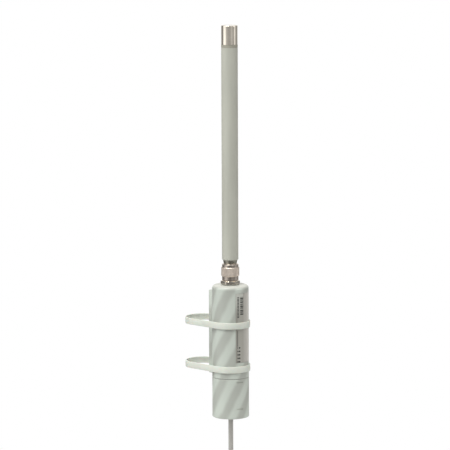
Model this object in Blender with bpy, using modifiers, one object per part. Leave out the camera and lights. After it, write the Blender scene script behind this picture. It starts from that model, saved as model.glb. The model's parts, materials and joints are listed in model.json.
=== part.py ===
"""Omnidirectional stick antenna on a tubular outdoor radio unit, with the two cable ties that hold it up.

Units are metres and +Z is up. The origin is midway between the ties, on the axis of the round space that
they close behind the unit. The unit's front faces -Y.
"""

from math import asin, cos, pi, radians, sin, sqrt, tan

import bmesh
import bpy
import numpy as np
from mathutils import Matrix, Vector

MM = 0.001

# Clearances
FIT = 0.3 * MM
SEAT = 0.15 * MM

# Facets round a turned piece
WIDE_STEPS = 48
SLIM_STEPS = 32
FINE_STEPS = 20

# Cable ties, and the round space that they clamp behind the unit
CLAMP_D = 40.0 * MM
CLAMP_GAP = 2.0 * MM
TIE_PITCH = 53.0 * MM
TIE_W = 7.8 * MM
TIE_T = 1.3 * MM
TIE_HEAD_L = 10.0 * MM
TIE_HEAD_W = 10.0 * MM
TIE_HEAD_H = 5.4 * MM
TIE_TAIL_L = 4.0 * MM
TIE_ARC_POINTS = 22

# Housing shell, and the two rails on its back that bear on what is clamped
HOUSING_D = 44.0 * MM
HOUSING_H = 111.0 * MM
HOUSING_WALL = 2.2 * MM
HOUSING_ROOF = 3.0 * MM
SHOULDER_R = 4.5 * MM
PARTING_DROP = 11.0 * MM
LEDGE_H = 2.0 * MM
SPIGOT_H = 12.0 * MM
SPIGOT_WALL = 1.6 * MM
RAIL_X = 9.0 * MM
RAIL_W = 4.0 * MM
RAIL_END_GAP = 3.0 * MM

# Label strip and the light guide that shows through it
LABEL_HALF_ANGLE = radians(32)
LABEL_DEPTH = 0.45 * MM
LABEL_TOP_GAP = 8.0 * MM
LABEL_H = 84.0 * MM
LABEL_ARC_POINTS = 9
LIGHT_X = -7.0 * MM
LIGHT_D = 2.0 * MM
LIGHT_COUNT = 5
LIGHT_PITCH = 4.2 * MM
LIGHT_TOP_DROP = 73.5 * MM
LIGHT_BAR_T = 2.4 * MM
LIGHT_BAR_MARGIN = 2.0 * MM

# Bottom cover, its gasket, its slits and the cable grommet
COVER_H = 49.0 * MM
COVER_WALL = 2.2 * MM
COVER_FLOOR = 2.5 * MM
COVER_EDGE_R = 1.6 * MM
GASKET_T = 0.7 * MM
GASKET_INSET = 0.4 * MM
SLIT_ANGLE = radians(-18)
SLIT_W = 9.0 * MM
SLIT_H = 1.2 * MM
SLIT_DEPTH = 0.8 * MM
SLIT_DROPS = (4.6 * MM, 36.8 * MM)
CABLE_HOLE_D = 16.0 * MM
GROMMET_LIP = 1.5 * MM
GROMMET_FLANGE = 1.4 * MM

# N jack on the roof of the housing
THREAD_D = 15.9 * MM
SEAL_D = 20.4 * MM
SEAL_T = 0.8 * MM
FLANGE_AF = 21.0 * MM
FLANGE_TURN = radians(12)
FLANGE_H = 3.9 * MM
JACK_NOSE_H = 11.0 * MM
JACK_BORE_DEPTH = 9.0 * MM
JACK_TAIL_H = 1.5 * MM
LOCK_WASHER_T = 0.8 * MM
LOCK_NUT_AF = 20.0 * MM
LOCK_NUT_H = 3.0 * MM
SLEEVE_D = 8.0 * MM
LINE_D = 7.0 * MM
CONTACT_D = 3.0 * MM
CONTACT_PROUD = 1.5 * MM
CONTACT_TAIL_H = 2.0 * MM
PIN_D = 1.65 * MM
PIN_REACH = 5.0 * MM

# N plug on the foot of the antenna, and its coupling nut
PLUG_GASKET_T = 0.6 * MM
PLUG_COLLAR_H = 2.0 * MM
PLUG_NECK_D = 12.6 * MM
PLUG_STUD_D = 8.6 * MM
PLUG_STUD_H = 10.0 * MM
PLUG_INSULATOR_GAP = 2.0 * MM
PLUG_INSULATOR_H = 9.0 * MM
RETAINER_T = 0.9 * MM
NUT_GAP = 0.5 * MM
NUT_WALL = 1.7 * MM
NUT_SKIRT_H = 4.9 * MM
NUT_KNURL_H = 10.8 * MM
NUT_KNURL_PROUD = 0.85 * MM
NUT_COLLAR_H = 3.8 * MM
NUT_EDGE = 0.5 * MM

# Radome, cap and neck bush
RADOME_D = 19.6 * MM
RADOME_WALL = 1.8 * MM
RADOME_SHOWN_H = 253.7 * MM
RADOME_EDGE = 1.0 * MM
CAP_SEAL_H = 3.0 * MM
CAP_WALL = 0.45 * MM
CAP_H = 23.0 * MM
CAP_ROOF = 2.5 * MM
CAP_EDGE = 0.9 * MM
NECK_H = 4.2 * MM
NECK_FOOT_D = 16.0 * MM
NECK_TOP_D = 17.2 * MM
BUSH_SPIGOT_H = 14.0 * MM

# Radiator inside the radome
FEED_D = 3.6 * MM
FEED_END = 6.0 * MM
CUP_D = 8.0 * MM
CUP_WALL = 0.6 * MM
CUP_L = 44.0 * MM
CUP_GAP = 3.0 * MM
DIPOLE_RISE = 72.0 * MM
DIPOLE_PITCH = 115.0 * MM
SPACER_T = 6.0 * MM
SPACER_GAP = 1.0 * MM

# Modular plug, its latch, and the Ethernet jack that takes it
PLUG_W = 11.7 * MM
PLUG_H = 8.0 * MM
PLUG_L = 21.5 * MM
PLUG_IN = 11.5 * MM
LATCH_W = 6.0 * MM
LATCH_T = 1.0 * MM
LATCH_L = 14.0 * MM
LATCH_SETBACK = 1.5 * MM
LATCH_TILT = radians(10)
PORT_WALL = 1.0 * MM
PORT_SIDE = 1.85 * MM
PORT_L = 16.0 * MM

# Main board and what is on it
BOARD_T = 1.6 * MM
BOARD_SIDE_GAP = 1.4 * MM
BOARD_TOP_GAP = 21.0 * MM
BOARD_END_RISE = 1.0 * MM
SCREW_EDGE = 4.0 * MM
SCREW_DROP = 6.0 * MM
SCREW_D = 2.3 * MM
SCREW_HEAD_D = 4.4 * MM
SCREW_HEAD_H = 1.6 * MM
SCREW_L = 6.0 * MM
BOSS_D = 5.0 * MM
CAN_W = 22.0 * MM
CAN_L = 32.0 * MM
CAN_H = 3.0 * MM
CAN_WALL = 0.4 * MM
CAN_GAP = 2.0 * MM
PIGTAIL_D = 1.8 * MM
PIGTAIL_LAP = 9.0 * MM
PIGTAIL_POINTS = 13
PIGTAIL_STRAIGHT = 0.2
SWITCH_W = 6.0 * MM
SWITCH_H = 3.4 * MM
SWITCH_GAP = 0.6 * MM
SWITCH_RISE = 9.0 * MM
BUTTON_D = 3.2 * MM
BUTTON_PROUD = 1.2 * MM
BUTTON_SUNK = 1.4 * MM
BUTTON_TRAVEL = 0.3 * MM

# Ethernet lead: 2 m, hanging straight, then folded into a hank
LEAD_D = 5.8 * MM
LEAD_STUB = 7.0 * MM
LEAD_POINTS = 10
HANK_DROP = 129.5 * MM
HANK_ENTRY = 10.0 * MM
HANK_RUN = 37.6 * MM
HANK_FOLD_R = 17.6 * MM
HANK_WAIST = 5.0 * MM
HANK_STEP = 7.2 * MM
HANK_LAYER = 6.4 * MM
HANK_LAYERS = 4
HANK_LAYER_TURNS = 1.5
HANK_TURN_POINTS = 24
HANK_ENTRY_TURN = 0.125
HANK_CLIMB_TURN = 0.25
TAIL_STEP = 7.6 * MM
TAIL_RUN = 34.0 * MM
TAIL_END = 8.0 * MM
TAIL_POINTS = 6
BAND_H = 9.0 * MM
BAND_T = 1.4 * MM

# Heights and radii that several pieces share
HOUSING_R = HOUSING_D / 2
AXIS_Y = -(CLAMP_D / 2 + CLAMP_GAP + HOUSING_R)
PARTING_Z = -TIE_PITCH / 2 - PARTING_DROP
ROOF_Z = PARTING_Z + HOUSING_H
COVER_FOOT_Z = PARTING_Z - COVER_H
HANK_Z = COVER_FOOT_Z - HANK_DROP
HOUSING_BORE_R = HOUSING_R - HOUSING_WALL
SPIGOT_R = HOUSING_R - COVER_WALL - FIT
SPIGOT_BORE_R = SPIGOT_R - SPIGOT_WALL
CABLE_HOLE_R = CABLE_HOLE_D / 2
MOUTH_Z = COVER_FOOT_Z + COVER_FLOOR + SEAT + GROMMET_FLANGE + LEAD_STUB + PLUG_L - PLUG_IN
LATCH_ROOM = FIT + LATCH_T + PLUG_IN * tan(LATCH_TILT) + FIT
PORT_W = PLUG_W + 2 * (FIT + PORT_SIDE)
BOARD_FACE_Y = PLUG_H / 2 + FIT + PORT_WALL + SEAT
BOARD_BACK_Y = BOARD_FACE_Y + BOARD_T
BOARD_HALF_W = sqrt(SPIGOT_BORE_R**2 - BOARD_BACK_Y**2) - BOARD_SIDE_GAP
BOARD_TOP_Z = ROOF_Z - BOARD_TOP_GAP
SCREW_X = BOARD_HALF_W - SCREW_EDGE
SCREW_Z = BOARD_TOP_Z - SCREW_DROP
LIGHT_HEIGHTS = [ROOF_Z - LIGHT_TOP_DROP - LIGHT_PITCH * index for index in range(LIGHT_COUNT)]

# Heights above the roof plane, on the antenna's axis
THREAD_R = THREAD_D / 2
FLANGE_Z = SEAT + SEAL_T + SEAT
NOSE_Z = FLANGE_Z + FLANGE_H
JACK_TOP = NOSE_Z + JACK_NOSE_H
JACK_BORE_FLOOR = JACK_TOP - JACK_BORE_DEPTH
JACK_FOOT = -(HOUSING_ROOF + 2 * SEAT + LOCK_WASHER_T + LOCK_NUT_H + JACK_TAIL_H)
CONTACT_TOP = JACK_BORE_FLOOR + CONTACT_PROUD
CONTACT_FOOT = JACK_FOOT - CONTACT_TAIL_H
PLUG_COLLAR_Z = JACK_TOP + FIT + PLUG_GASKET_T + FIT
RETAINER_Z = PLUG_COLLAR_Z + PLUG_COLLAR_H + SEAT
NUT_SHOULDER_Z = RETAINER_Z + RETAINER_T + SEAT
NUT_FOOT = NOSE_Z + NUT_GAP
NUT_TOP = NUT_FOOT + NUT_SKIRT_H + NUT_KNURL_H + NUT_COLLAR_H
NUT_BORE_R = THREAD_R + FIT
PLUG_NECK_R = PLUG_NECK_D / 2
PLUG_STUD_R = PLUG_STUD_D / 2
INSULATOR_FOOT = CONTACT_TOP + PLUG_INSULATOR_GAP
INSULATOR_TOP = INSULATOR_FOOT + PLUG_INSULATOR_H
FEED_FOOT = INSULATOR_TOP + FIT + SEAT
FEED_R = FEED_D / 2
BUSH_FOOT = NUT_TOP + FIT
RADOME_FOOT = BUSH_FOOT + NECK_H + SEAT
RADOME_R = RADOME_D / 2
RADOME_BORE_R = RADOME_R - RADOME_WALL
RADOME_SHOULDER = RADOME_FOOT + RADOME_SHOWN_H
CAP_SEAL_FOOT = RADOME_SHOULDER + SEAT
CAP_SEAL_TOP = CAP_SEAL_FOOT + CAP_SEAL_H
CAP_FOOT = CAP_SEAL_TOP + SEAT
CAP_TOP = CAP_FOOT + CAP_H
CAP_BORE_R = RADOME_R - CAP_WALL
RADOME_TOP = CAP_TOP - CAP_ROOF - FIT
RADOME_END_R = CAP_BORE_R - SEAT


def clear_scene():
    for item in list(bpy.data.objects):
        bpy.data.objects.remove(item)


def collection(name):
    group = bpy.data.collections.new(name)
    bpy.context.scene.collection.children.link(group)
    return group


clear_scene()
PARTS = collection("omni_antenna")
TOOLS = collection("cutters")


def material(name, colour, roughness, metallic=0.0):
    finish = bpy.data.materials.new(name)
    finish.use_nodes = True
    shader = finish.node_tree.nodes["Principled BSDF"]
    shader.inputs["Base Color"].default_value = (*colour, 1.0)
    shader.inputs["Roughness"].default_value = roughness
    shader.inputs["Metallic"].default_value = metallic
    return finish


HOUSING_GREY = material("housing_grey", (0.46, 0.50, 0.46), 0.45)
LABEL_GREY = material("label_grey", (0.40, 0.40, 0.38), 0.4)
RADOME_GREY = material("radome_grey", (0.44, 0.45, 0.41), 0.5)
NICKEL = material("nickel", (0.72, 0.68, 0.60), 0.18, 1.0)
BRASS = material("brass", (0.75, 0.56, 0.24), 0.3, 1.0)
GOLD = material("gold", (0.85, 0.62, 0.25), 0.25, 1.0)
PTFE = material("ptfe", (0.85, 0.85, 0.82), 0.5)
RUBBER = material("rubber", (0.04, 0.04, 0.04), 0.8)
NYLON = material("nylon", (0.72, 0.76, 0.68), 0.45)
BOARD_GREEN = material("board_green", (0.03, 0.16, 0.06), 0.5)
FOAM = material("foam", (0.80, 0.80, 0.78), 0.9)
STEEL = material("steel", (0.60, 0.60, 0.60), 0.3, 1.0)
CLEAR = material("clear_acrylic", (0.80, 0.84, 0.80), 0.1)
LEAD_GREY = material("lead_grey", (0.36, 0.36, 0.34), 0.6)
BAND_BLACK = material("band_black", (0.03, 0.03, 0.03), 0.9)


def empty(name, parent, location, turn=0.0):
    """An axis that pieces hang on, turned about Y where it points down."""
    axis = bpy.data.objects.new(name, None)
    axis.location = location
    axis.rotation_euler = (0.0, turn, 0.0)
    axis.parent = parent
    PARTS.objects.link(axis)
    return axis


def place(name, data, finish, parent, location=(0, 0, 0)):
    """An object for the data. With no finish it is a cutter or a guide, which isn't a piece."""
    item = bpy.data.objects.new(name, data)
    item.location = location
    item.parent = parent
    if finish is None:
        TOOLS.objects.link(item)
        item.hide_render = True
        item.display_type = "WIRE"
    else:
        PARTS.objects.link(item)
        item.data.materials.append(finish)
    return item


def turned(name, profile, finish, parent, steps=SLIM_STEPS, closed=True, location=(0, 0, 0)):
    """A profile of (radius, height) points, run down its outer side, turned about Z."""
    mesh = bpy.data.meshes.new(name)
    points = [(radius, 0.0, height) for radius, height in profile]
    edges = [(index, index + 1) for index in range(len(points) - 1)]
    if closed:
        edges.append((len(points) - 1, 0))
    mesh.from_pydata(points, edges, [])
    item = place(name, mesh, finish, parent, location)
    screw = item.modifiers.new("turn", "SCREW")
    screw.axis = "Z"
    screw.steps = steps
    screw.render_steps = steps
    screw.use_merge_vertices = True
    screw.merge_threshold = 1e-6
    screw.use_smooth_shade = True
    return item


def ring(outer, inner, low, high):
    """Profile of a plain ring."""
    return [(outer, high), (outer, low), (inner, low), (inner, high)]


def corner(radius_at, height_at, radius, start, end, points=6):
    """Points of a rounded corner about a centre, from one angle to another in degrees."""
    angles = [radians(start + (end - start) * index / (points - 1)) for index in range(points)]
    return [(radius_at + radius * cos(angle), height_at + radius * sin(angle)) for angle in angles]


def block(name, low, high, finish, parent):
    """A box between two corners, with its origin at its middle."""
    low = Vector(low)
    high = Vector(high)
    shape = bmesh.new()
    bmesh.ops.create_cube(shape, size=1.0, matrix=Matrix.Diagonal((*(high - low), 1.0)))
    mesh = bpy.data.meshes.new(name)
    shape.to_mesh(mesh)
    shape.free()
    return place(name, mesh, finish, parent, (low + high) / 2)


def rods(name, centres, radius, front, back, finish, parent, segments=12):
    """Round rods along Y at (x, z) centres, as one mesh."""
    shape = bmesh.new()
    for x, z in centres:
        spot = Matrix.Translation((x, (front + back) / 2, z)) @ Matrix.Rotation(pi / 2, 4, "X")
        bmesh.ops.create_cone(shape, cap_ends=True, segments=segments, radius1=radius, radius2=radius,
                              depth=back - front, matrix=spot)
    mesh = bpy.data.meshes.new(name)
    shape.to_mesh(mesh)
    shape.free()
    return place(name, mesh, finish, parent)


def hexagon(name, across_flats, low, high, parent, turn=0.0):
    """A hexagonal prism that a round blank is cut to, turned from flats that face the front and the back."""
    shape = bmesh.new()
    bmesh.ops.create_cone(shape, cap_ends=True, segments=6, radius1=across_flats / 2 / cos(pi / 6),
                          radius2=across_flats / 2 / cos(pi / 6), depth=high - low)
    mesh = bpy.data.meshes.new(name)
    shape.to_mesh(mesh)
    shape.free()
    item = place(name, mesh, None, parent, (0, 0, (low + high) / 2))
    item.rotation_euler = (0.0, 0.0, turn)
    return item


def outline(name, loops, low, high, finish, parent):
    """Flat closed outlines in XY, the inner ones holes, raised between two heights, as a mesh."""
    curve = bpy.data.curves.new(name, "CURVE")
    curve.dimensions = "2D"
    curve.fill_mode = "BOTH"
    curve.extrude = (high - low) / 2
    for loop in loops:
        spline = curve.splines.new("POLY")
        spline.points.add(len(loop) - 1)
        for point, (x, y) in zip(spline.points, loop):
            point.co = (x, y, 0.0, 1.0)
        spline.use_cyclic_u = True
    guide = bpy.data.objects.new(name, curve)
    TOOLS.objects.link(guide)
    bpy.context.view_layer.update()
    evaluated = guide.evaluated_get(bpy.context.evaluated_depsgraph_get())
    mesh = bpy.data.meshes.new_from_object(evaluated)
    shape = bmesh.new()
    shape.from_mesh(mesh)
    bmesh.ops.remove_doubles(shape, verts=shape.verts, dist=1e-6)
    shape.to_mesh(mesh)
    shape.free()
    bpy.data.objects.remove(guide)
    return place(name, mesh, finish, parent, (0, 0, (low + high) / 2))


def tube(name, points, diameter, finish, parent, resolution):
    """A tube with capped ends along points."""
    curve = bpy.data.curves.new(name, "CURVE")
    curve.dimensions = "3D"
    curve.bevel_depth = diameter / 2
    curve.bevel_resolution = resolution
    curve.use_fill_caps = True
    spline = curve.splines.new("POLY")
    spline.points.add(len(points) - 1)
    for point, place_at in zip(spline.points, points):
        point.co = (*place_at, 1.0)
    return place(name, curve, finish, parent)


def combine(target, tool, operation="DIFFERENCE"):
    step = target.modifiers.new(tool.name, "BOOLEAN")
    step.operation = operation
    step.object = tool
    return target


def ease(share):
    """Smooth change from 0 to 1 over a share of 0 to 1."""
    return (1 - cos(pi * min(max(share, 0.0), 1.0))) / 2


# Antenna
def build_radome(axis):
    """A tube whose end is turned down for a flush cap, with a seal at the shoulder, and the neck's bush."""
    outer = RADOME_R
    edge = RADOME_EDGE
    turned("radome_tube", [
        (RADOME_END_R, RADOME_TOP),
        (RADOME_END_R, RADOME_SHOULDER),
        (outer, RADOME_SHOULDER),
        *corner(outer - edge, RADOME_FOOT + edge, edge, 0, -90, 4),
        (RADOME_BORE_R, RADOME_FOOT),
        (RADOME_BORE_R, RADOME_TOP),
    ], RADOME_GREY, axis)
    turned("top_cap", [
        (0, CAP_TOP),
        *corner(outer - CAP_EDGE, CAP_TOP - CAP_EDGE, CAP_EDGE, 90, 0, 4),
        (outer, CAP_FOOT),
        (CAP_BORE_R, CAP_FOOT),
        (CAP_BORE_R, CAP_TOP - CAP_ROOF),
        (0, CAP_TOP - CAP_ROOF),
    ], NICKEL, axis, closed=False)
    turned("cap_seal", ring(outer, CAP_BORE_R, CAP_SEAL_FOOT, CAP_SEAL_TOP), RUBBER, axis)
    turned("neck_bush", [
        (RADOME_BORE_R - FIT, RADOME_FOOT + BUSH_SPIGOT_H),
        (RADOME_BORE_R - FIT, BUSH_FOOT + NECK_H),
        (NECK_TOP_D / 2, BUSH_FOOT + NECK_H),
        (NECK_FOOT_D / 2, BUSH_FOOT),
        (PLUG_STUD_R + FIT, BUSH_FOOT),
        (PLUG_STUD_R + FIT, RADOME_FOOT + BUSH_SPIGOT_H),
    ], NICKEL, axis)


def build_radiator(axis):
    """Dipole cups and spacers on a feed line, which stand on the plug and leave the radome free."""
    hole = FEED_R + SEAT
    dipoles = [RADOME_FOOT + DIPOLE_RISE + DIPOLE_PITCH * index for index in range(2)]
    for index, middle in enumerate(dipoles):
        for way, half in ((-1, "lower"), (1, "upper")):
            web = middle + way * CUP_GAP / 2
            floor = web + way * CUP_WALL
            mouth = web + way * CUP_L
            profile = [
                (CUP_D / 2, web),
                (hole, web),
                (hole, floor),
                (CUP_D / 2 - CUP_WALL, floor),
                (CUP_D / 2 - CUP_WALL, mouth),
                (CUP_D / 2, mouth),
            ]
            turned(f"dipole_{index + 1}_{half}_cup", profile[::way], BRASS, axis, FINE_STEPS)
    reach = CUP_GAP / 2 + CUP_L + SPACER_GAP + SPACER_T / 2
    middles = (dipoles[0] - reach, sum(dipoles) / 2, dipoles[1] + reach)
    for index, middle in enumerate(middles):
        turned(f"foam_spacer_{index + 1}", ring(RADOME_BORE_R - FIT, FEED_R + FIT,
               middle - SPACER_T / 2, middle + SPACER_T / 2), FOAM, axis, FINE_STEPS)
    feed_top = middles[-1] + SPACER_T / 2 + FEED_END
    turned("feed_coax", [
        (0, feed_top),
        (FEED_R, feed_top),
        (FEED_R, FEED_FOOT),
        (0, FEED_FOOT),
    ], BRASS, axis, FINE_STEPS, closed=False)


def build_plug(axis):
    line = LINE_D / 2
    sleeve = SLEEVE_D / 2
    collar_top = PLUG_COLLAR_Z + PLUG_COLLAR_H
    collar = NUT_BORE_R - FIT
    turned("plug_body", [
        (PLUG_STUD_R, BUSH_FOOT + PLUG_STUD_H),
        (PLUG_STUD_R, BUSH_FOOT - SEAT),
        (PLUG_NECK_R, BUSH_FOOT - SEAT),
        (PLUG_NECK_R, collar_top),
        (collar, collar_top),
        (collar, PLUG_COLLAR_Z),
        (sleeve, PLUG_COLLAR_Z),
        (sleeve, JACK_BORE_FLOOR + FIT),
        (line, JACK_BORE_FLOOR + FIT),
        (line, INSULATOR_TOP + SEAT),
        (FEED_R + FIT, INSULATOR_TOP + SEAT),
        (FEED_R + FIT, BUSH_FOOT + PLUG_STUD_H),
    ], NICKEL, axis)
    body = CONTACT_D / 2
    turned("plug_insulator", ring(line - FIT, body + FIT, INSULATOR_FOOT, INSULATOR_TOP),
           PTFE, axis, FINE_STEPS)
    turned("plug_pin", [
        (0, FEED_FOOT - SEAT),
        (body, FEED_FOOT - SEAT),
        (body, INSULATOR_FOOT),
        (PIN_D / 2, INSULATOR_FOOT),
        (PIN_D / 2, CONTACT_TOP - PIN_REACH),
        (0, CONTACT_TOP - PIN_REACH),
    ], GOLD, axis, FINE_STEPS, closed=False)
    gasket_foot = JACK_TOP + FIT
    turned("plug_gasket", ring(collar, sleeve + FIT, gasket_foot, gasket_foot + PLUG_GASKET_T), RUBBER, axis)
    turned("retaining_ring", ring(collar, PLUG_NECK_R + FIT, RETAINER_Z, RETAINER_Z + RETAINER_T),
           STEEL, axis)


def build_coupling_nut(axis):
    skirt = NUT_BORE_R + NUT_WALL
    knurl = skirt + NUT_KNURL_PROUD
    knurl_foot = NUT_FOOT + NUT_SKIRT_H
    knurl_top = knurl_foot + NUT_KNURL_H
    turned("coupling_nut", [
        (skirt - NUT_EDGE, NUT_TOP),
        (skirt, NUT_TOP - NUT_EDGE),
        (skirt, knurl_top),
        (knurl - NUT_EDGE, knurl_top),
        (knurl, knurl_top - NUT_EDGE),
        (knurl, knurl_foot + NUT_EDGE),
        (knurl - NUT_EDGE, knurl_foot),
        (skirt, knurl_foot),
        (skirt, NUT_FOOT),
        (NUT_BORE_R, NUT_FOOT),
        (NUT_BORE_R, NUT_SHOULDER_Z),
        (PLUG_NECK_R + FIT, NUT_SHOULDER_Z),
        (PLUG_NECK_R + FIT, NUT_TOP),
    ], NICKEL, axis)


# N jack on the roof
def build_jack(axis):
    bore = SLEEVE_D / 2 + FIT
    line = LINE_D / 2
    corners = FLANGE_AF / 2 / cos(pi / 6)
    body = turned("jack_body", [
        (THREAD_R, JACK_TOP),
        (THREAD_R, NOSE_Z),
        (corners, NOSE_Z),
        (corners, FLANGE_Z),
        (THREAD_R, FLANGE_Z),
        (THREAD_R, JACK_FOOT),
        (line, JACK_FOOT),
        (line, JACK_BORE_FLOOR),
        (bore, JACK_BORE_FLOOR),
        (bore, JACK_TOP),
    ], NICKEL, axis)
    flats = hexagon("flange_flats", FLANGE_AF, 2 * JACK_FOOT, 2 * JACK_TOP, axis, FLANGE_TURN)
    combine(body, flats, "INTERSECT")
    hole = THREAD_R + FIT
    turned("jack_seal", ring(SEAL_D / 2, hole, SEAT, SEAT + SEAL_T), RUBBER, axis)
    washer_top = -HOUSING_ROOF - SEAT
    washer_foot = washer_top - LOCK_WASHER_T
    turned("jack_lock_washer", ring(LOCK_NUT_AF / 2 + FIT, hole, washer_foot, washer_top), STEEL, axis)
    nut_top = washer_foot - SEAT
    nut_foot = nut_top - LOCK_NUT_H
    nut = turned("jack_lock_nut", ring(LOCK_NUT_AF / 2 / cos(pi / 6), hole, nut_foot, nut_top), NICKEL, axis)
    combine(nut, hexagon("lock_nut_flats", LOCK_NUT_AF, 2 * nut_foot, 0, axis), "INTERSECT")
    contact = CONTACT_D / 2
    turned("jack_insulator", ring(line - FIT, contact + FIT, JACK_FOOT, JACK_BORE_FLOOR),
           PTFE, axis, FINE_STEPS)
    socket = PIN_D / 2 + FIT
    socket_floor = CONTACT_TOP - PIN_REACH - FIT
    turned("jack_contact", [
        (0, socket_floor),
        (socket, socket_floor),
        (socket, CONTACT_TOP),
        (contact, CONTACT_TOP),
        (contact, CONTACT_FOOT),
        (0, CONTACT_FOOT),
    ], GOLD, axis, FINE_STEPS, closed=False)


# Housing
def rail_back_y():
    """Depth of the rails' back faces, whose inner edges lie a clearance off the clamped circle."""
    inner_edge = RAIL_X - RAIL_W / 2
    return -sqrt((CLAMP_D / 2) ** 2 - inner_edge**2) - FIT - AXIS_Y


def sector(inner, outer, half_angle):
    """Outline of a stretch of wall, centred on the front."""
    steps = LABEL_ARC_POINTS - 1
    angles = [half_angle * (2 * index / steps - 1) for index in range(LABEL_ARC_POINTS)]
    near = [(outer * sin(angle), -outer * cos(angle)) for angle in angles]
    far = [(inner * sin(angle), -inner * cos(angle)) for angle in reversed(angles)]
    return near + far


def build_housing(axis):
    roof_hole = THREAD_R + FIT
    ledge_z = PARTING_Z + LEDGE_H
    shell = turned("housing_shell", [
        (roof_hole, ROOF_Z),
        *corner(HOUSING_R - SHOULDER_R, ROOF_Z - SHOULDER_R, SHOULDER_R, 90, 0),
        (HOUSING_R, PARTING_Z),
        (SPIGOT_R, PARTING_Z),
        (SPIGOT_R, PARTING_Z - SPIGOT_H),
        (SPIGOT_BORE_R, PARTING_Z - SPIGOT_H),
        (SPIGOT_BORE_R, ledge_z),
        (HOUSING_BORE_R, ledge_z),
        (HOUSING_BORE_R, ROOF_Z - HOUSING_ROOF),
        (roof_hole, ROOF_Z - HOUSING_ROOF),
    ], HOUSING_GREY, axis, WIDE_STEPS)
    mid_wall = HOUSING_R - HOUSING_WALL / 2
    rail_root = sqrt(mid_wall**2 - (RAIL_X + RAIL_W / 2) ** 2)
    for side, x in (("left", -RAIL_X), ("right", RAIL_X)):
        rail = block(f"{side}_rail", (x - RAIL_W / 2, rail_root, PARTING_Z + RAIL_END_GAP),
                     (x + RAIL_W / 2, rail_back_y(), ROOF_Z - SHOULDER_R - RAIL_END_GAP), None, axis)
        combine(shell, rail, "UNION")
    boss_end = sqrt(mid_wall**2 - (SCREW_X + BOSS_D / 2) ** 2)
    screw_spots = [(-SCREW_X, SCREW_Z), (SCREW_X, SCREW_Z)]
    boss_face = BOARD_BACK_Y + SEAT
    combine(shell, rods("bosses", screw_spots, BOSS_D / 2, boss_face, boss_end, None, axis), "UNION")
    hole_r = SCREW_D / 2 + FIT
    hole_end = BOARD_FACE_Y - SEAT + SCREW_L + FIT
    combine(shell, rods("boss_holes", screw_spots, hole_r, 0, hole_end, None, axis))
    label_top = ROOF_Z - LABEL_TOP_GAP
    label_foot = label_top - LABEL_H
    recess_floor = HOUSING_R - LABEL_DEPTH
    recess = outline("label_recess", [sector(recess_floor, HOUSING_R + LABEL_DEPTH, LABEL_HALF_ANGLE)],
                     label_foot, label_top, None, axis)
    combine(shell, recess)
    pin_holes = rods("light_holes", [(LIGHT_X, z) for z in LIGHT_HEIGHTS], LIGHT_D / 2 + FIT,
                     -HOUSING_D, 0, None, axis)
    combine(shell, pin_holes)
    margin = FIT / HOUSING_R
    label = outline("front_label", [sector(recess_floor + SEAT, HOUSING_R, LABEL_HALF_ANGLE - margin)],
                    label_foot + FIT, label_top - FIT, LABEL_GREY, axis)
    combine(label, pin_holes)


def build_cover(axis, unit):
    turned("cover_gasket", ring(HOUSING_R - GASKET_INSET, SPIGOT_R + FIT, -SEAT - GASKET_T, -SEAT),
           RUBBER, axis, WIDE_STEPS)
    rim = -2 * SEAT - GASKET_T
    cover = turned("bottom_cover", [
        (HOUSING_R, rim),
        *corner(HOUSING_R - COVER_EDGE_R, COVER_EDGE_R - COVER_H, COVER_EDGE_R, 0, -90, 4),
        (CABLE_HOLE_R, -COVER_H),
        (CABLE_HOLE_R, COVER_FLOOR - COVER_H),
        (HOUSING_R - COVER_WALL, COVER_FLOOR - COVER_H),
        (HOUSING_R - COVER_WALL, rim),
    ], HOUSING_GREY, axis, WIDE_STEPS)
    for index, drop in enumerate(SLIT_DROPS):
        slit = block(f"slit_{index + 1}", (-SLIT_W / 2, -SLIT_DEPTH, -SLIT_H / 2),
                     (SLIT_W / 2, SLIT_DEPTH, SLIT_H / 2), None, axis)
        slit.location = (HOUSING_R * sin(SLIT_ANGLE), -HOUSING_R * cos(SLIT_ANGLE), -drop)
        slit.rotation_euler = (0.0, 0.0, SLIT_ANGLE)
        combine(cover, slit)
    lip = CABLE_HOLE_R + GROMMET_LIP
    waist = CABLE_HOLE_R - FIT
    inner_seat = COVER_FOOT_Z + COVER_FLOOR + SEAT
    outer_seat = COVER_FOOT_Z - SEAT
    bore = LEAD_D / 2 + FIT
    turned("cable_grommet", [
        (lip, inner_seat + GROMMET_FLANGE),
        (lip, inner_seat),
        (waist, inner_seat),
        (waist, outer_seat),
        (lip, outer_seat),
        (lip, outer_seat - GROMMET_FLANGE),
        (bore, outer_seat - GROMMET_FLANGE),
        (bore, inner_seat + GROMMET_FLANGE),
    ], RUBBER, unit)


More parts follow.
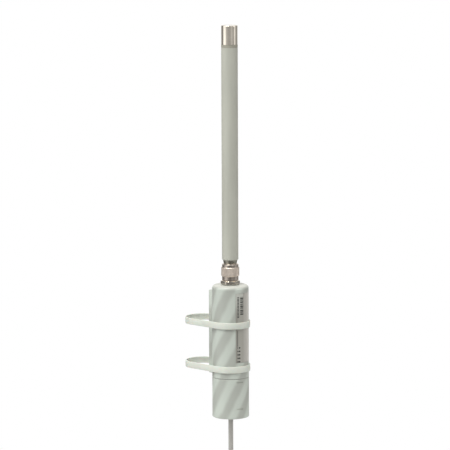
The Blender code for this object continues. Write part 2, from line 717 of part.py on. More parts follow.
# Board and what is on it
def build_board(axis):
    board = block("main_board", (-BOARD_HALF_W, BOARD_FACE_Y, MOUTH_Z + BOARD_END_RISE),
                  (BOARD_HALF_W, BOARD_BACK_Y, BOARD_TOP_Z), BOARD_GREEN, axis)
    spots = [(-SCREW_X, SCREW_Z), (SCREW_X, SCREW_Z)]
    combine(board, rods("screw_holes", spots, SCREW_D / 2 + FIT, 0, 2 * BOARD_BACK_Y, None, axis))
    head = SCREW_HEAD_D / 2
    shank = SCREW_D / 2
    for side, (x, z) in zip(("left", "right"), spots):
        screw = turned(f"{side}_board_screw", [
            (0, SCREW_HEAD_H),
            (head, SCREW_HEAD_H),
            (head, 0),
            (shank, 0),
            (shank, -SCREW_L),
            (0, -SCREW_L),
        ], STEEL, axis, FINE_STEPS, closed=False, location=(x, BOARD_FACE_Y - SEAT, z))
        screw.rotation_euler = (pi / 2, 0.0, 0.0)
    face = BOARD_FACE_Y - SEAT
    can_top = LIGHT_HEIGHTS[0] + LIGHT_D / 2 + LIGHT_BAR_MARGIN + CAN_GAP + CAN_L
    can = block("shield_can", (-CAN_W / 2, face - CAN_H, can_top - CAN_L), (CAN_W / 2, face, can_top),
                STEEL, axis)
    inside = CAN_W / 2 - CAN_WALL
    combine(can, block("can_hollow", (-inside, face - CAN_H + CAN_WALL, can_top - CAN_L + CAN_WALL),
                       (inside, BOARD_BACK_Y, can_top - CAN_WALL), None, axis))
    build_light_guide(axis, face)
    build_pigtail(axis, face)
    build_reset(axis, face)


def build_light_guide(axis, face):
    half = LIGHT_D / 2 + LIGHT_BAR_MARGIN
    guide = block("light_guide", (LIGHT_X - half, face - LIGHT_BAR_T, LIGHT_HEIGHTS[-1] - half),
                  (LIGHT_X + half, face, LIGHT_HEIGHTS[0] + half), CLEAR, axis)
    tip = -sqrt(HOUSING_R**2 - LIGHT_X**2)
    pins = rods("light_pins", [(LIGHT_X, z) for z in LIGHT_HEIGHTS], LIGHT_D / 2, tip, face - LIGHT_BAR_T / 2,
                None, axis)
    combine(guide, pins, "UNION")


def build_pigtail(axis, face):
    """Coax from the board's face up to the jack's contact."""
    start_y = face - PIGTAIL_D / 2
    start_z = BOARD_TOP_Z - PIGTAIL_LAP
    end_z = ROOF_Z + CONTACT_FOOT - SEAT
    bend = 1 - 2 * PIGTAIL_STRAIGHT
    points = []
    for index in range(PIGTAIL_POINTS):
        share = index / (PIGTAIL_POINTS - 1)
        y = start_y * (1 - ease((share - PIGTAIL_STRAIGHT) / bend))
        points.append((0.0, y, start_z + (end_z - start_z) * share))
    tube("rf_pigtail", points, PIGTAIL_D, BRASS, axis, 1)


def build_reset(axis, face):
    x = PORT_W / 2 + SWITCH_GAP + SWITCH_W / 2
    z = MOUTH_Z + SWITCH_RISE
    half = SWITCH_W / 2
    front = face - SWITCH_H
    switch = block("reset_switch", (x - half, front, z - half), (x + half, face, z + half), BAND_BLACK, axis)
    socket_floor = front + BUTTON_SUNK + BUTTON_TRAVEL + FIT
    combine(switch, rods("button_socket", [(x, z)], BUTTON_D / 2 + FIT, front - SWITCH_H, socket_floor,
                         None, axis))
    rods("reset_button", [(x, z)], BUTTON_D / 2, front - BUTTON_PROUD, front + BUTTON_SUNK, NYLON, axis)


# Ethernet jack and plugs
def build_port(port):
    front = -(PLUG_H / 2 + LATCH_ROOM + PORT_WALL)
    jack = block("ethernet_jack", (-PORT_W / 2, front, 0), (PORT_W / 2, BOARD_FACE_Y - SEAT, PORT_L),
                 STEEL, port)
    side = PLUG_W / 2 + FIT
    depth = PLUG_H / 2 + FIT
    combine(jack, block("port_pocket", (-side, -depth, -PLUG_IN), (side, depth, PLUG_IN + FIT), None, port))
    slot = LATCH_W / 2 + FIT
    combine(jack, block("latch_slot", (-slot, front + PORT_WALL, -PLUG_IN), (slot, 0, PLUG_IN), None, port))


def build_modular_plug(prefix, mouth):
    """A plug whose nose points along the mouth's +Z, with its latch on the -Y side."""
    block(f"{prefix}_plug", (-PLUG_W / 2, -PLUG_H / 2, PLUG_IN - PLUG_L), (PLUG_W / 2, PLUG_H / 2, PLUG_IN),
          CLEAR, mouth)
    hinge_y = -(PLUG_H / 2 + FIT + LATCH_T / 2)
    hinge = empty(f"{prefix}_latch_hinge", mouth, (0, hinge_y, PLUG_IN - LATCH_SETBACK))
    latch = block(f"{prefix}_latch", (-LATCH_W / 2, -LATCH_T / 2, -LATCH_L), (LATCH_W / 2, LATCH_T / 2, 0),
                  CLEAR, hinge)
    latch.data.transform(Matrix.Translation(latch.location))
    latch.location = (0, 0, 0)
    latch.rotation_euler = (-LATCH_TILT, 0.0, 0.0)


# Cable ties
def belt(spread):
    """Outline round the housing and the clamped circle, a spread away from both."""
    front_r = HOUSING_R + spread
    back_r = CLAMP_D / 2 + spread
    lean = asin((front_r - back_r) / -AXIS_Y)
    shares = [2 * index / (TIE_ARC_POINTS - 1) - 1 for index in range(TIE_ARC_POINTS)]
    front = [-pi / 2 + (pi / 2 + lean) * share for share in shares]
    back = [pi / 2 + (pi / 2 - lean) * share for share in shares]
    points = [(front_r * cos(angle), AXIS_Y + front_r * sin(angle)) for angle in front]
    points += [(back_r * cos(angle), back_r * sin(angle)) for angle in back]
    return points


def build_ties():
    """Each tie is one loop, with its ratchet head and cut tail on the side away from the front left."""
    outer = FIT + TIE_T
    side_x = (HOUSING_R + CLAMP_D / 2) / 2 + outer
    side_y = AXIS_Y / 2
    for name, z in (("upper_tie", TIE_PITCH / 2), ("lower_tie", -TIE_PITCH / 2)):
        tie = outline(name, [belt(outer), belt(FIT)], z - TIE_W / 2, z + TIE_W / 2, NYLON, None)
        head = block(f"{name}_head", (side_x - TIE_T / 2, side_y - TIE_HEAD_L / 2, z - TIE_HEAD_W / 2),
                     (side_x + TIE_HEAD_H, side_y + TIE_HEAD_L / 2, z + TIE_HEAD_W / 2), None, None)
        combine(tie, head, "UNION")
        tail_x = side_x + TIE_HEAD_H / 2
        tail = block(f"{name}_tail", (tail_x - TIE_T / 2, side_y, z - TIE_W / 2),
                     (tail_x + TIE_T / 2, side_y + TIE_HEAD_L / 2 + TIE_TAIL_L, z + TIE_W / 2), None, None)
        combine(tie, tail, "UNION")


# Ethernet lead
def spread_at(turn):
    """How many steps outwards the hank's spiral is, after a number of turns."""
    leg = turn / HANK_LAYER_TURNS
    return HANK_LAYER_TURNS * (1 - abs(leg % 2 - 1))


def layer_at(turn):
    """Layer of the hank after a number of turns. Part of a turn, along a run, climbs to the next."""
    layer = ease(turn / HANK_ENTRY_TURN)
    for index in range(1, HANK_LAYERS):
        layer += ease((turn - HANK_LAYER_TURNS * index) / HANK_CLIMB_TURN + 0.5)
    return layer


def loop_point(turn):
    """Place on the hank's loop in its own plane. Turn 0 is the waist of the right run, heading down."""
    extra = spread_at(turn) * HANK_STEP
    fold = HANK_FOLD_R + extra
    phase = 8 * (turn % 1.0)
    if 1 <= phase < 3 or 5 <= phase < 7:
        angle = pi / 2 * (phase - 1) if phase < 3 else pi / 2 * (phase - 3)
        way = -1 if phase < 3 else 1
        return fold * cos(angle), way * HANK_RUN - fold * sin(angle)
    side = -1 if 3 <= phase < 5 else 1
    height = phase - 4 if side < 0 else -phase if phase < 1 else 8 - phase
    return side * (HANK_WAIST + (HANK_FOLD_R - HANK_WAIST) * ease(abs(height)) + extra), height * HANK_RUN


def hank_points():
    """The hank from its entry above the waist to the far plug, on the lead's axis at x = y = 0."""
    turns = HANK_LAYERS * HANK_LAYER_TURNS
    points = [(0.0, 0.0, HANK_ENTRY), (0.0, 0.0, HANK_ENTRY - LEAD_D)]
    for index in range(round(turns * HANK_TURN_POINTS)):
        turn = index / HANK_TURN_POINTS
        x, z = loop_point(turn)
        points.append((x - HANK_WAIST, -HANK_LAYER * layer_at(turn), z))
    front = HANK_LAYER * HANK_LAYERS
    for index in range(TAIL_POINTS):
        share = index / (TAIL_POINTS - 1)
        points.append((0.0, -front - TAIL_STEP * ease(share), -TAIL_RUN * share))
    points.append((0.0, -front - TAIL_STEP, -TAIL_RUN - TAIL_END))
    return points


def fine_points(points, parts=8):
    """Points at even shares of each straight piece of a route."""
    spots = np.array(points)
    fine = []
    for start, end in zip(spots, spots[1:]):
        fine += [start + (end - start) * index / parts for index in range(parts)]
    return np.array(fine)


def least_gap(points, diameter):
    """Least gap of a tube to itself, between stretches over three diameters apart along it."""
    fine = fine_points(points)
    along = np.concatenate([[0], np.cumsum(np.linalg.norm(np.diff(fine, axis=0), axis=1))])
    apart = np.linalg.norm(fine[:, None] - fine[None], axis=2)
    apart[np.abs(along[:, None] - along[None]) < 3 * diameter] = np.inf
    return apart.min() - diameter


def length_of(points):
    return sum((Vector(end) - Vector(start)).length for start, end in zip(points, points[1:]))


def rounded_rectangle(x, y, half_x, half_y, radius, points=5):
    loop = []
    for way_x, way_y, start in ((1, 1, 0), (-1, 1, 90), (-1, -1, 180), (1, -1, 270)):
        middle = (way_x * (half_x - radius), way_y * (half_y - radius))
        spots = corner(*middle, radius, start, start + 90, points)
        loop += [(x + across, y + deep) for across, deep in spots]
    return loop


def build_lead(axis):
    top = MOUTH_Z - (PLUG_L - PLUG_IN) - FIT
    foot = HANK_Z + HANK_ENTRY + FIT
    stretch = [(0.0, 0.0, top + (foot - top) * index / (LEAD_POINTS - 1)) for index in range(LEAD_POINTS)]
    tube("ethernet_lead", stretch, LEAD_D, LEAD_GREY, axis, 2)
    waist = empty("hank_waist", axis, (0, 0, HANK_Z))
    turns = hank_points()
    tube("lead_hank", turns, LEAD_D, LEAD_GREY, waist, 1)
    length = length_of(stretch) + length_of(turns)
    print(f"lead {length:.4f} m, least gap {least_gap(turns, LEAD_D) / MM:.3f} mm")
    build_band(waist, turns)
    nose_drop = TAIL_RUN + TAIL_END + FIT + PLUG_L - PLUG_IN
    mouth = empty("far_plug_mouth", waist, (0, -HANK_LAYER * HANK_LAYERS - TAIL_STEP, -nose_drop), pi)
    build_modular_plug("far", mouth)


def build_band(waist, turns):
    """Band round the hank's waist and the lead behind it."""
    fine = fine_points(turns)
    held = fine[np.abs(fine[:, 2]) <= BAND_H / 2]
    margin = LEAD_D / 2 + 2 * FIT
    low = held.min(axis=0) - margin
    high = held.max(axis=0) + margin
    middle = (low + high) / 2
    half = (high - low) / 2
    loops = [rounded_rectangle(middle[0], middle[1], half[0] + grow, half[1] + grow, margin + grow)
             for grow in (BAND_T, 0.0)]
    outline("lead_band", loops, -BAND_H / 2, BAND_H / 2, BAND_BLACK, waist)


def main():
    unit = empty("unit_axis", None, (0, AXIS_Y, 0))
    roof = empty("antenna_axis", unit, (0, 0, ROOF_Z))
    parting = empty("cover_axis", unit, (0, 0, PARTING_Z))
    port = empty("port_axis", unit, (0, 0, MOUTH_Z))
    build_radome(roof)
    build_radiator(roof)
    build_plug(roof)
    build_coupling_nut(roof)
    build_jack(roof)
    build_housing(unit)
    build_cover(parting, unit)
    build_board(unit)
    build_port(port)
    build_modular_plug("inner", port)
    build_ties()
    build_lead(unit)


main()
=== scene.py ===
"""Looks of the omnidirectional antenna and its radio unit: finishes, detail pieces, lead, light and camera.

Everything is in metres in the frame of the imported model: +Z up, front -Y, and the origin midway between the
ties, on the axis of the round space that they close behind the unit.
"""

import json
from math import asin, cos, floor, hypot, pi, radians, sin, tan

import bmesh
import bpy
from mathutils import Matrix, Vector


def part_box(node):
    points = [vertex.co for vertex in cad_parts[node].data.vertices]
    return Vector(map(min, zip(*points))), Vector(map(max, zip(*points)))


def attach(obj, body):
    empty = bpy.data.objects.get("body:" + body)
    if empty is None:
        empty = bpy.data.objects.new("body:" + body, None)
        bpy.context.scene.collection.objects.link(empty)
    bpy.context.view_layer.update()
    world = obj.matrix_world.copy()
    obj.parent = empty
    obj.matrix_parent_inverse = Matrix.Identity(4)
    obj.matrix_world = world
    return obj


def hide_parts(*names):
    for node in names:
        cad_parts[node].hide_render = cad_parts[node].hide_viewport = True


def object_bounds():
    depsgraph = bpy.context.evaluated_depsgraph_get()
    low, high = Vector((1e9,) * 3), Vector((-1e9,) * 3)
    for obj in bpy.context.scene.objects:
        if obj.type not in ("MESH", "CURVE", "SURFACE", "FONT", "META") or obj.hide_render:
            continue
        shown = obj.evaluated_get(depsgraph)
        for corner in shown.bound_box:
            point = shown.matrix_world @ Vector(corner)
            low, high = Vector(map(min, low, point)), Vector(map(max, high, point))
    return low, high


MM = 0.001

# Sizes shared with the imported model
AXIS_Y = -44.0 * MM
HOUSING_R = 22.0 * MM
CLAMP_R = 20.0 * MM
FIT = 0.3 * MM
SEAT = 0.15 * MM
CONTACT_COUNT = 8
CONTACT_PITCH = 1.02 * MM
CONTACT_XS = [(index - (CONTACT_COUNT - 1) / 2) * CONTACT_PITCH for index in range(CONTACT_COUNT)]

# Photograph's camera
PHOTO_AZIMUTH = radians(-48)
PHOTO_ELEVATION = radians(8)
PHOTO_DISTANCE = 4.0
PHOTO_CLIP = 50.0
PHOTO_LENS = 269.0
PHOTO_ROLL = radians(-0.22)
PHOTO_TARGET_Z = 145.0 * MM
PHOTO_TARGET_LEFT = 6.05 * MM

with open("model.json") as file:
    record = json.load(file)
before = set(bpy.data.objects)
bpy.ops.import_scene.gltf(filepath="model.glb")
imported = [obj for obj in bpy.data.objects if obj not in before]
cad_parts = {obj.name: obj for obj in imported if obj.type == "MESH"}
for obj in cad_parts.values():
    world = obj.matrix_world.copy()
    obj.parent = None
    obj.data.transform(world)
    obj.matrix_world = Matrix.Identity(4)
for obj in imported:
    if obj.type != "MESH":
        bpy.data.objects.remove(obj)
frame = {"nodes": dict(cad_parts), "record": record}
CAD_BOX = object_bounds()
NODES = frame["nodes"]


# Mesh helpers. Edges are sharp from an angle in degrees
SHARP = 35
FINE_SHARP = 28
EDGE_SEGMENTS = 3
MERGE = 1e-7
TINY = 1e-9
ROUND_STEPS = 96
LONG_SIDE = 1.2 * MM
SUPPORT = 0.12 * MM


def low_z(node):
    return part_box(node)[0].z


def high_z(node):
    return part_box(node)[1].z


def add_object(name, data):
    item = bpy.data.objects.new(name, data)
    bpy.context.scene.collection.objects.link(item)
    return item


def finish_mesh(name, shape, sharp=SHARP):
    """A smooth object with sharp edges, from a bmesh."""
    bmesh.ops.remove_doubles(shape, verts=shape.verts, dist=MERGE)
    bmesh.ops.recalc_face_normals(shape, faces=shape.faces)
    mesh = bpy.data.meshes.new(name)
    shape.to_mesh(mesh)
    shape.free()
    mesh.shade_smooth()
    mesh.set_sharp_from_angle(angle=radians(sharp))
    return add_object(name, mesh)


def grid_faces(shape, rows, closed_rows=True):
    """Quads from each ring of vertices to the next, and a face on each end if the rows are open."""
    count = len(rows[0])
    for index in range(len(rows) if closed_rows else len(rows) - 1):
        here = rows[index]
        there = rows[(index + 1) % len(rows)]
        for spot in range(count):
            after = (spot + 1) % count
            shape.faces.new((here[spot], here[after], there[after], there[spot]))
    if not closed_rows:
        shape.faces.new(rows[0])
        shape.faces.new(rows[-1])


def even_angles(steps):
    return [2 * pi * index / steps - pi for index in range(steps)]


def on_wall(radius, angle, height):
    """Place at an angle round the unit's axis, 0 at the front and growing to the right."""
    return Vector((radius * sin(angle), AXIS_Y - radius * cos(angle), height))


def supported(profile):
    """The profile with points close to the ends of its long sides, which keep their middles straight."""
    points = []
    for index, (radius, height) in enumerate(profile):
        points.append((radius, height))
        end_radius, end_height = profile[(index + 1) % len(profile)]
        length = hypot(end_radius - radius, end_height - height)
        if length > LONG_SIDE:
            for share in (SUPPORT / length, 1 - SUPPORT / length):
                points.append((radius + (end_radius - radius) * share,
                               height + (end_height - height) * share))
    return points


def turned(name, profile, angles=None, radius_at=None, sharp=SHARP):
    """A closed profile of (radius, height) points turned about the unit's axis."""
    shape = bmesh.new()
    rows = []
    profile = supported(profile)
    for angle in angles or even_angles(ROUND_STEPS):
        row = []
        for radius, height in profile:
            if radius_at:
                radius = radius_at(angle, radius, height)
            row.append(shape.verts.new(on_wall(radius, angle, height)))
        rows.append(row)
    grid_faces(shape, rows)
    return finish_mesh(name, shape, sharp)


def corner(radius, height, size, start, end, points=5):
    """Points of a rounded corner about a centre, from one angle to another in degrees."""
    angles = [radians(start + (end - start) * index / (points - 1)) for index in range(points)]
    return [(radius + size * cos(angle), height + size * sin(angle)) for angle in angles]


def top_edge(radius, height, size, points=5):
    """Points of a rounded outer edge at a piece's top, on the way down."""
    return corner(radius - size, height - size, size, 90, 0, points)


def foot_edge(radius, height, size, points=5):
    """Points of a rounded outer edge at a piece's foot, on the way down."""
    return corner(radius - size, height + size, size, 0, -90, points)


def rounded(shape, edges, size):
    bmesh.ops.bevel(shape, geom=edges, offset=size, segments=EDGE_SEGMENTS, profile=0.5, affect="EDGES")


def block(name, low, high, edge, turn=None):
    """A box with rounded edges between two corners, then turned by a matrix."""
    low = Vector(low)
    high = Vector(high)
    shape = bmesh.new()
    spot = Matrix.Translation((low + high) / 2) @ Matrix.Diagonal((*(high - low), 1.0))
    bmesh.ops.create_cube(shape, size=1.0, matrix=spot)
    rounded(shape, shape.edges[:], edge)
    if turn:
        bmesh.ops.transform(shape, matrix=turn, verts=shape.verts)
    return finish_mesh(name, shape)


def centred(name, middle, size, edge, turn=None):
    """A box with rounded edges about its middle."""
    half = Vector(size) / 2
    return block(name, Vector(middle) - half, Vector(middle) + half, edge, turn)


def ball(name, radius, segments, matrix):
    """A ball that a matrix places and flattens."""
    shape = bmesh.new()
    bmesh.ops.create_uvsphere(shape, u_segments=segments, v_segments=segments // 2, radius=radius,
                              matrix=matrix)
    return finish_mesh(name, shape)


def rod(name, radius, length, segments, matrix, edge=0.0):
    """A round bar along a matrix's Z, with its rims rounded."""
    shape = bmesh.new()
    bmesh.ops.create_cone(shape, cap_ends=True, segments=segments, radius1=radius, radius2=radius,
                          depth=length)
    if edge:
        rims = [side for side in shape.edges if abs(side.verts[0].co.z - side.verts[1].co.z) < TINY]
        rounded(shape, rims, edge)
    bmesh.ops.transform(shape, matrix=matrix, verts=shape.verts)
    return finish_mesh(name, shape)


def sweep(name, path, sections, closed=True):
    """A cycle of sections of (out, up) points, carried along a flat path of (place, outward) pairs."""
    shape = bmesh.new()
    rows = []
    for index, (place, outward) in enumerate(path):
        spots = [place + outward * out + Vector((0, 0, up)) for out, up in sections[index % len(sections)]]
        rows.append([shape.verts.new(spot) for spot in spots])
    grid_faces(shape, rows, closed)
    return finish_mesh(name, shape)


def cut(item, *cutters):
    """The object with other objects' shapes taken out of it."""
    for cutter in cutters:
        taking = item.modifiers.new("cut", "BOOLEAN")
        taking.operation = "DIFFERENCE"
        taking.object = cutter
    bpy.context.view_layer.update()
    whole = item.evaluated_get(bpy.context.evaluated_depsgraph_get())
    shape = bmesh.new()
    shape.from_mesh(whole.to_mesh())
    name = item.name
    for used in (item, *cutters):
        bpy.data.objects.remove(used)
    return finish_mesh(name, shape)


def joined(name, items):
    """Several objects' meshes as one object."""
    shape = bmesh.new()
    for item in items:
        shape.from_mesh(item.data)
        bpy.data.objects.remove(item)
    return finish_mesh(name, shape)


# Material helpers
EVEN = (1, 1, 1)
# A new stop starts past those already placed, so that stops stay in order
NEW_STOP = 0.99


def linear(red, green, blue):
    """Linear colour of an sRGB colour in 0 to 255."""
    shares = [value / 255 for value in (red, green, blue)]
    return tuple(share / 12.92 if share <= 0.04045 else ((share + 0.055) / 1.055) ** 2.4 for share in shares)


class Nodes:
    """A node tree, with short ways to add to it."""

    def __init__(self, tree):
        self.tree = tree

    def node(self, kind, inputs=(), **settings):
        item = self.tree.nodes.new(f"ShaderNode{kind}")
        for key, value in settings.items():
            setattr(item, key, value)
        for key, value in dict(inputs).items():
            if isinstance(value, bpy.types.NodeSocket):
                self.tree.links.new(value, item.inputs[key])
            else:
                item.inputs[key].default_value = value
        return item

    def math(self, operation, first, second=0.0):
        return self.node("Math", {0: first, 1: second}, operation=operation).outputs[0]

    def span(self, value, start, end, low=0.0, high=1.0, way="SMOOTHSTEP"):
        """A number that goes from low to high as a value goes from start to end."""
        ends = {"Value": value, "From Min": start, "From Max": end, "To Min": low, "To Max": high}
        return self.node("MapRange", ends, interpolation_type=way).outputs[0]

    def ramp(self, share, stops):
        """Colours at positions, blended smoothly."""
        item = self.node("ValToRGB", {"Fac": share})
        band = item.color_ramp
        band.interpolation = "EASE"
        while len(band.elements) < len(stops):
            band.elements.new(NEW_STOP)
        for element, (position, colour) in zip(band.elements, stops):
            element.position = position
            element.color = (*colour, 1.0)
        return item.outputs["Color"]

    def mix(self, share, first, second):
        """A colour between two others."""
        return self.node("Mix", {0: share, 6: first, 7: second}, data_type="RGBA").outputs[2]


class Finish(Nodes):
    """A material and its nodes, with Object coordinates, which are the model's own at rest."""

    def __init__(self, name, colour, roughness, metallic=0.0, **sockets):
        self.material = bpy.data.materials.new(name)
        self.material.use_nodes = True
        super().__init__(self.material.node_tree)
        self.shader = self.tree.nodes["Principled BSDF"]
        values = {"Base_Color": (*colour, 1.0), "Roughness": roughness, "Metallic": metallic, **sockets}
        for socket, value in values.items():
            self.shader.inputs[socket.replace("_", " ")].default_value = value
        self.place = self.node("TexCoord").outputs["Object"]

    def noise(self, scale, detail=3.0, stretch=EVEN):
        """Noise of a size per metre, stretched along the axes."""
        spread = self.node("Mapping", {"Vector": self.place, "Scale": stretch}).outputs[0]
        return self.node("TexNoise", {"Vector": spread, "Scale": scale, "Detail": detail}).outputs["Fac"]

    def drift(self, reach, scale, detail, stretch=EVEN):
        """Noise to both sides of zero."""
        return self.math("MULTIPLY", self.math("SUBTRACT", self.noise(scale, detail, stretch), 0.5), reach)

    def around(self):
        """Angle round the unit's axis, growing to the right from 0 at the front, distance from it, height."""
        apart = self.node("SeparateXYZ", {0: self.place}).outputs
        depth = self.math("SUBTRACT", AXIS_Y, apart["Y"])
        across = self.math("MULTIPLY", apart["X"], apart["X"])
        square = self.math("ADD", across, self.math("MULTIPLY", depth, depth))
        return self.math("ARCTAN2", apart["X"], depth), self.math("SQRT", square), apart["Z"]

    def set(self, socket, value):
        self.tree.links.new(value, self.shader.inputs[socket])

    def vary_roughness(self, share, low, high):
        self.set("Roughness", self.span(share, 0.0, 1.0, low, high, "LINEAR"))

    def bump(self, height, depth, strength):
        """Relief of a depth in metres."""
        item = self.node("Bump", {"Height": height, "Distance": depth, "Strength": strength})
        self.set("Normal", item.outputs["Normal"])


# Finishes
BAND_LIGHT = linear(193, 199, 190)
BAND_DARK = linear(172, 175, 167)
BAND_COUNT = 6
BAND_SLOPE = radians(63)
BAND_PHASE = radians(45)
BAND_FADE_R = 20.2 * MM
BAND_DRIFT = 3.0
BAND_WISPS = 1.1
# Plain grey of the shoulder: painted reflection of the highlights on the unit's top
SHOULDER_SHEEN_GREY = linear(186, 186, 178)

# Label's colours at shares of its width
LABEL_HALF_ANGLE = radians(32)
LABEL_EDGE = linear(152, 150, 142)
LABEL_DARK = linear(165, 163, 155)
LABEL_PALE = linear(191, 192, 184)
LABEL_LOWER = ((0.0, LABEL_EDGE), (0.08, LABEL_EDGE), (0.18, LABEL_DARK), (0.43, LABEL_DARK))
LABEL_UPPER = ((0.0, LABEL_PALE), (0.4, LABEL_PALE), (0.445, LABEL_DARK))
# Right part of the label: painted sheen, lighter towards its right edge
LABEL_RIGHT_SHEEN = ((0.46875, linear(175, 172, 165)), (0.625, linear(187, 184, 177)),
               (0.8125, linear(208, 205, 198)), (0.96875, linear(219, 216, 209)))
LABEL_PALE_Z = (36.0 * MM, 60.0 * MM)
LABEL_DRIFT = 0.03

BOARD_GREEN = (0.012, 0.11, 0.035)
BOARD_RUN = (0.035, 0.2, 0.075)
BOARD_PATCHES = 110.0
BOARD_RUNS = 240.0
RUN_WIDTH = 0.62
ACROSS_ABOVE = 0.52
ALONG_BELOW = 0.44

FOAM_PALE = linear(240, 240, 236)
FOAM_DARK = linear(215, 215, 210)
FOAM_CELLS = 900.0
PILE_DARK = (0.008, 0.008, 0.009)
PILE_PALE = (0.05, 0.05, 0.052)
PILE_LOOPS = 2600.0
NICKEL_HAZE = (0.96, 1.02)
NUT_COLOUR = (218, 206, 194)


def housing_finish():
    """Moulded grey plastic with soft diagonal bands that climb round it."""
    finish = Finish("housing_plastic", BAND_LIGHT, 0.42)
    angle, radius, height = finish.around()
    climb = finish.math("MULTIPLY", height, 1 / (tan(BAND_SLOPE) * HOUSING_R))
    turn = finish.math("MULTIPLY", finish.math("SUBTRACT", angle, climb), BAND_COUNT)
    turn = finish.math("ADD", turn, finish.drift(BAND_DRIFT, 30.0, 2.0, (1, 1, 0.5)))
    wave = finish.math("SINE", finish.math("ADD", turn, BAND_PHASE))
    wave = finish.math("ADD", wave, finish.drift(BAND_WISPS, 75.0, 4.0, (1, 1, 0.45)))
    share = finish.math("ADD", finish.math("MULTIPLY", wave, 0.5), 0.5)
    bands = finish.ramp(share, [(0.1, BAND_DARK), (0.9, BAND_LIGHT)])
    # Bands fade to the plain grey on the shoulder, a painted reflection
    side = finish.span(radius, BAND_FADE_R, HOUSING_R)
    finish.set("Base Color", finish.mix(side, (*SHOULDER_SHEEN_GREY, 1.0), bands))
    finish.vary_roughness(finish.noise(400.0), 0.36, 0.5)
    finish.bump(finish.noise(2500.0, 2.0), 0.04 * MM, 0.5)
    return finish.material


def label_finish():
    """Satin film, darker on the left half for the lights, paler towards its top, with a painted sheen to its
    right.
    """
    finish = Finish("label_film", LABEL_DARK, 0.2)
    angle, _, height = finish.around()
    across = finish.span(angle, -LABEL_HALF_ANGLE, LABEL_HALF_ANGLE, way="LINEAR")
    share = finish.math("ADD", across, finish.drift(LABEL_DRIFT, 70.0, 4.0))
    lower, upper = [finish.ramp(share, left + LABEL_RIGHT_SHEEN) for left in (LABEL_LOWER, LABEL_UPPER)]
    finish.set("Base Color", finish.mix(finish.span(height, *LABEL_PALE_Z), lower, upper))
    finish.vary_roughness(finish.noise(300.0), 0.16, 0.26)
    finish.bump(finish.noise(1500.0, 2.0), 0.01 * MM, 0.6)
    return finish.material


def board_finish():
    """Green solder mask over copper runs, along the board in some patches and across it in others."""
    finish = Finish("circuit_board", BOARD_GREEN, 0.35)
    patches = finish.noise(BOARD_PATCHES, 1.0)
    copper = 0.0
    for way, side, level in (("X", "GREATER_THAN", ACROSS_ABOVE), ("Z", "LESS_THAN", ALONG_BELOW)):
        lines = finish.node("TexWave", {"Vector": finish.place, "Scale": BOARD_RUNS, "Distortion": 0.6},
                            bands_direction=way).outputs["Fac"]
        runs = finish.math("GREATER_THAN", lines, RUN_WIDTH)
        runs = finish.math("MULTIPLY", runs, finish.math(side, patches, level))
        copper = finish.math("ADD", runs, copper)
    finish.set("Base Color", finish.ramp(copper, [(0.0, BOARD_GREEN), (1.0, BOARD_RUN)]))
    finish.bump(copper, 0.03 * MM, 0.6)
    finish.vary_roughness(finish.noise(300.0), 0.28, 0.42)
    return finish.material


def foam_finish():
    """White foam with round cells."""
    finish = Finish("white_foam", FOAM_PALE, 0.9)
    cells = finish.node("TexVoronoi", {"Vector": finish.place, "Scale": FOAM_CELLS}).outputs["Distance"]
    finish.set("Base Color", finish.ramp(cells, [(0.0, FOAM_DARK), (0.6, FOAM_PALE)]))
    finish.bump(cells, 0.4 * MM, 0.8)
    return finish.material


def loop_fabric_finish():
    """Hook-and-loop strip with a dense pile."""
    finish = Finish("hook_and_loop", PILE_DARK, 0.9, Sheen_Weight=0.3)
    pile = finish.noise(PILE_LOOPS, 4.0)
    finish.set("Base Color", finish.ramp(pile, [(0.3, PILE_DARK), (0.75, PILE_PALE)]))
    finish.bump(pile, 0.3 * MM, 0.9)
    return finish.material


def grained(name, colour, roughness, grain, depth, tint, metallic=0.0, stretch=EVEN, **sockets):
    """A plain finish of an sRGB colour with slight changes of tint, gloss and height."""
    colour = linear(*colour)
    finish = Finish(name, colour, roughness, metallic, **sockets)
    darker = [value * (1 - tint) for value in colour]
    lighter = [min(value * (1 + tint), 1.0) for value in colour]
    finish.set("Base Color", finish.ramp(finish.noise(90.0, 4.0, stretch), [(0.3, darker), (0.7, lighter)]))
    finish.vary_roughness(finish.noise(500.0, 3.0, stretch), roughness * 0.85, min(roughness * 1.2, 1.0))
    finish.bump(finish.noise(grain, 2.0, stretch), depth * MM, 0.6)
    return finish.material


def nickel(name, colour, smooth, rough):
    """Nickel plate of an sRGB colour, with faint haze and turning marks, between two roughnesses."""
    finish = Finish(name, linear(*colour), smooth, 1.0)
    marks = finish.noise(220.0, 3.0, (1, 1, 12))
    finish.vary_roughness(marks, smooth, rough)
    darker, lighter = [linear(*[value * share for value in colour]) for share in NICKEL_HAZE]
    finish.set("Base Color", finish.ramp(finish.noise(60.0, 3.0), [(0.3, darker), (0.7, lighter)]))
    finish.bump(marks, 0.01 * MM, 0.3)
    return finish.material


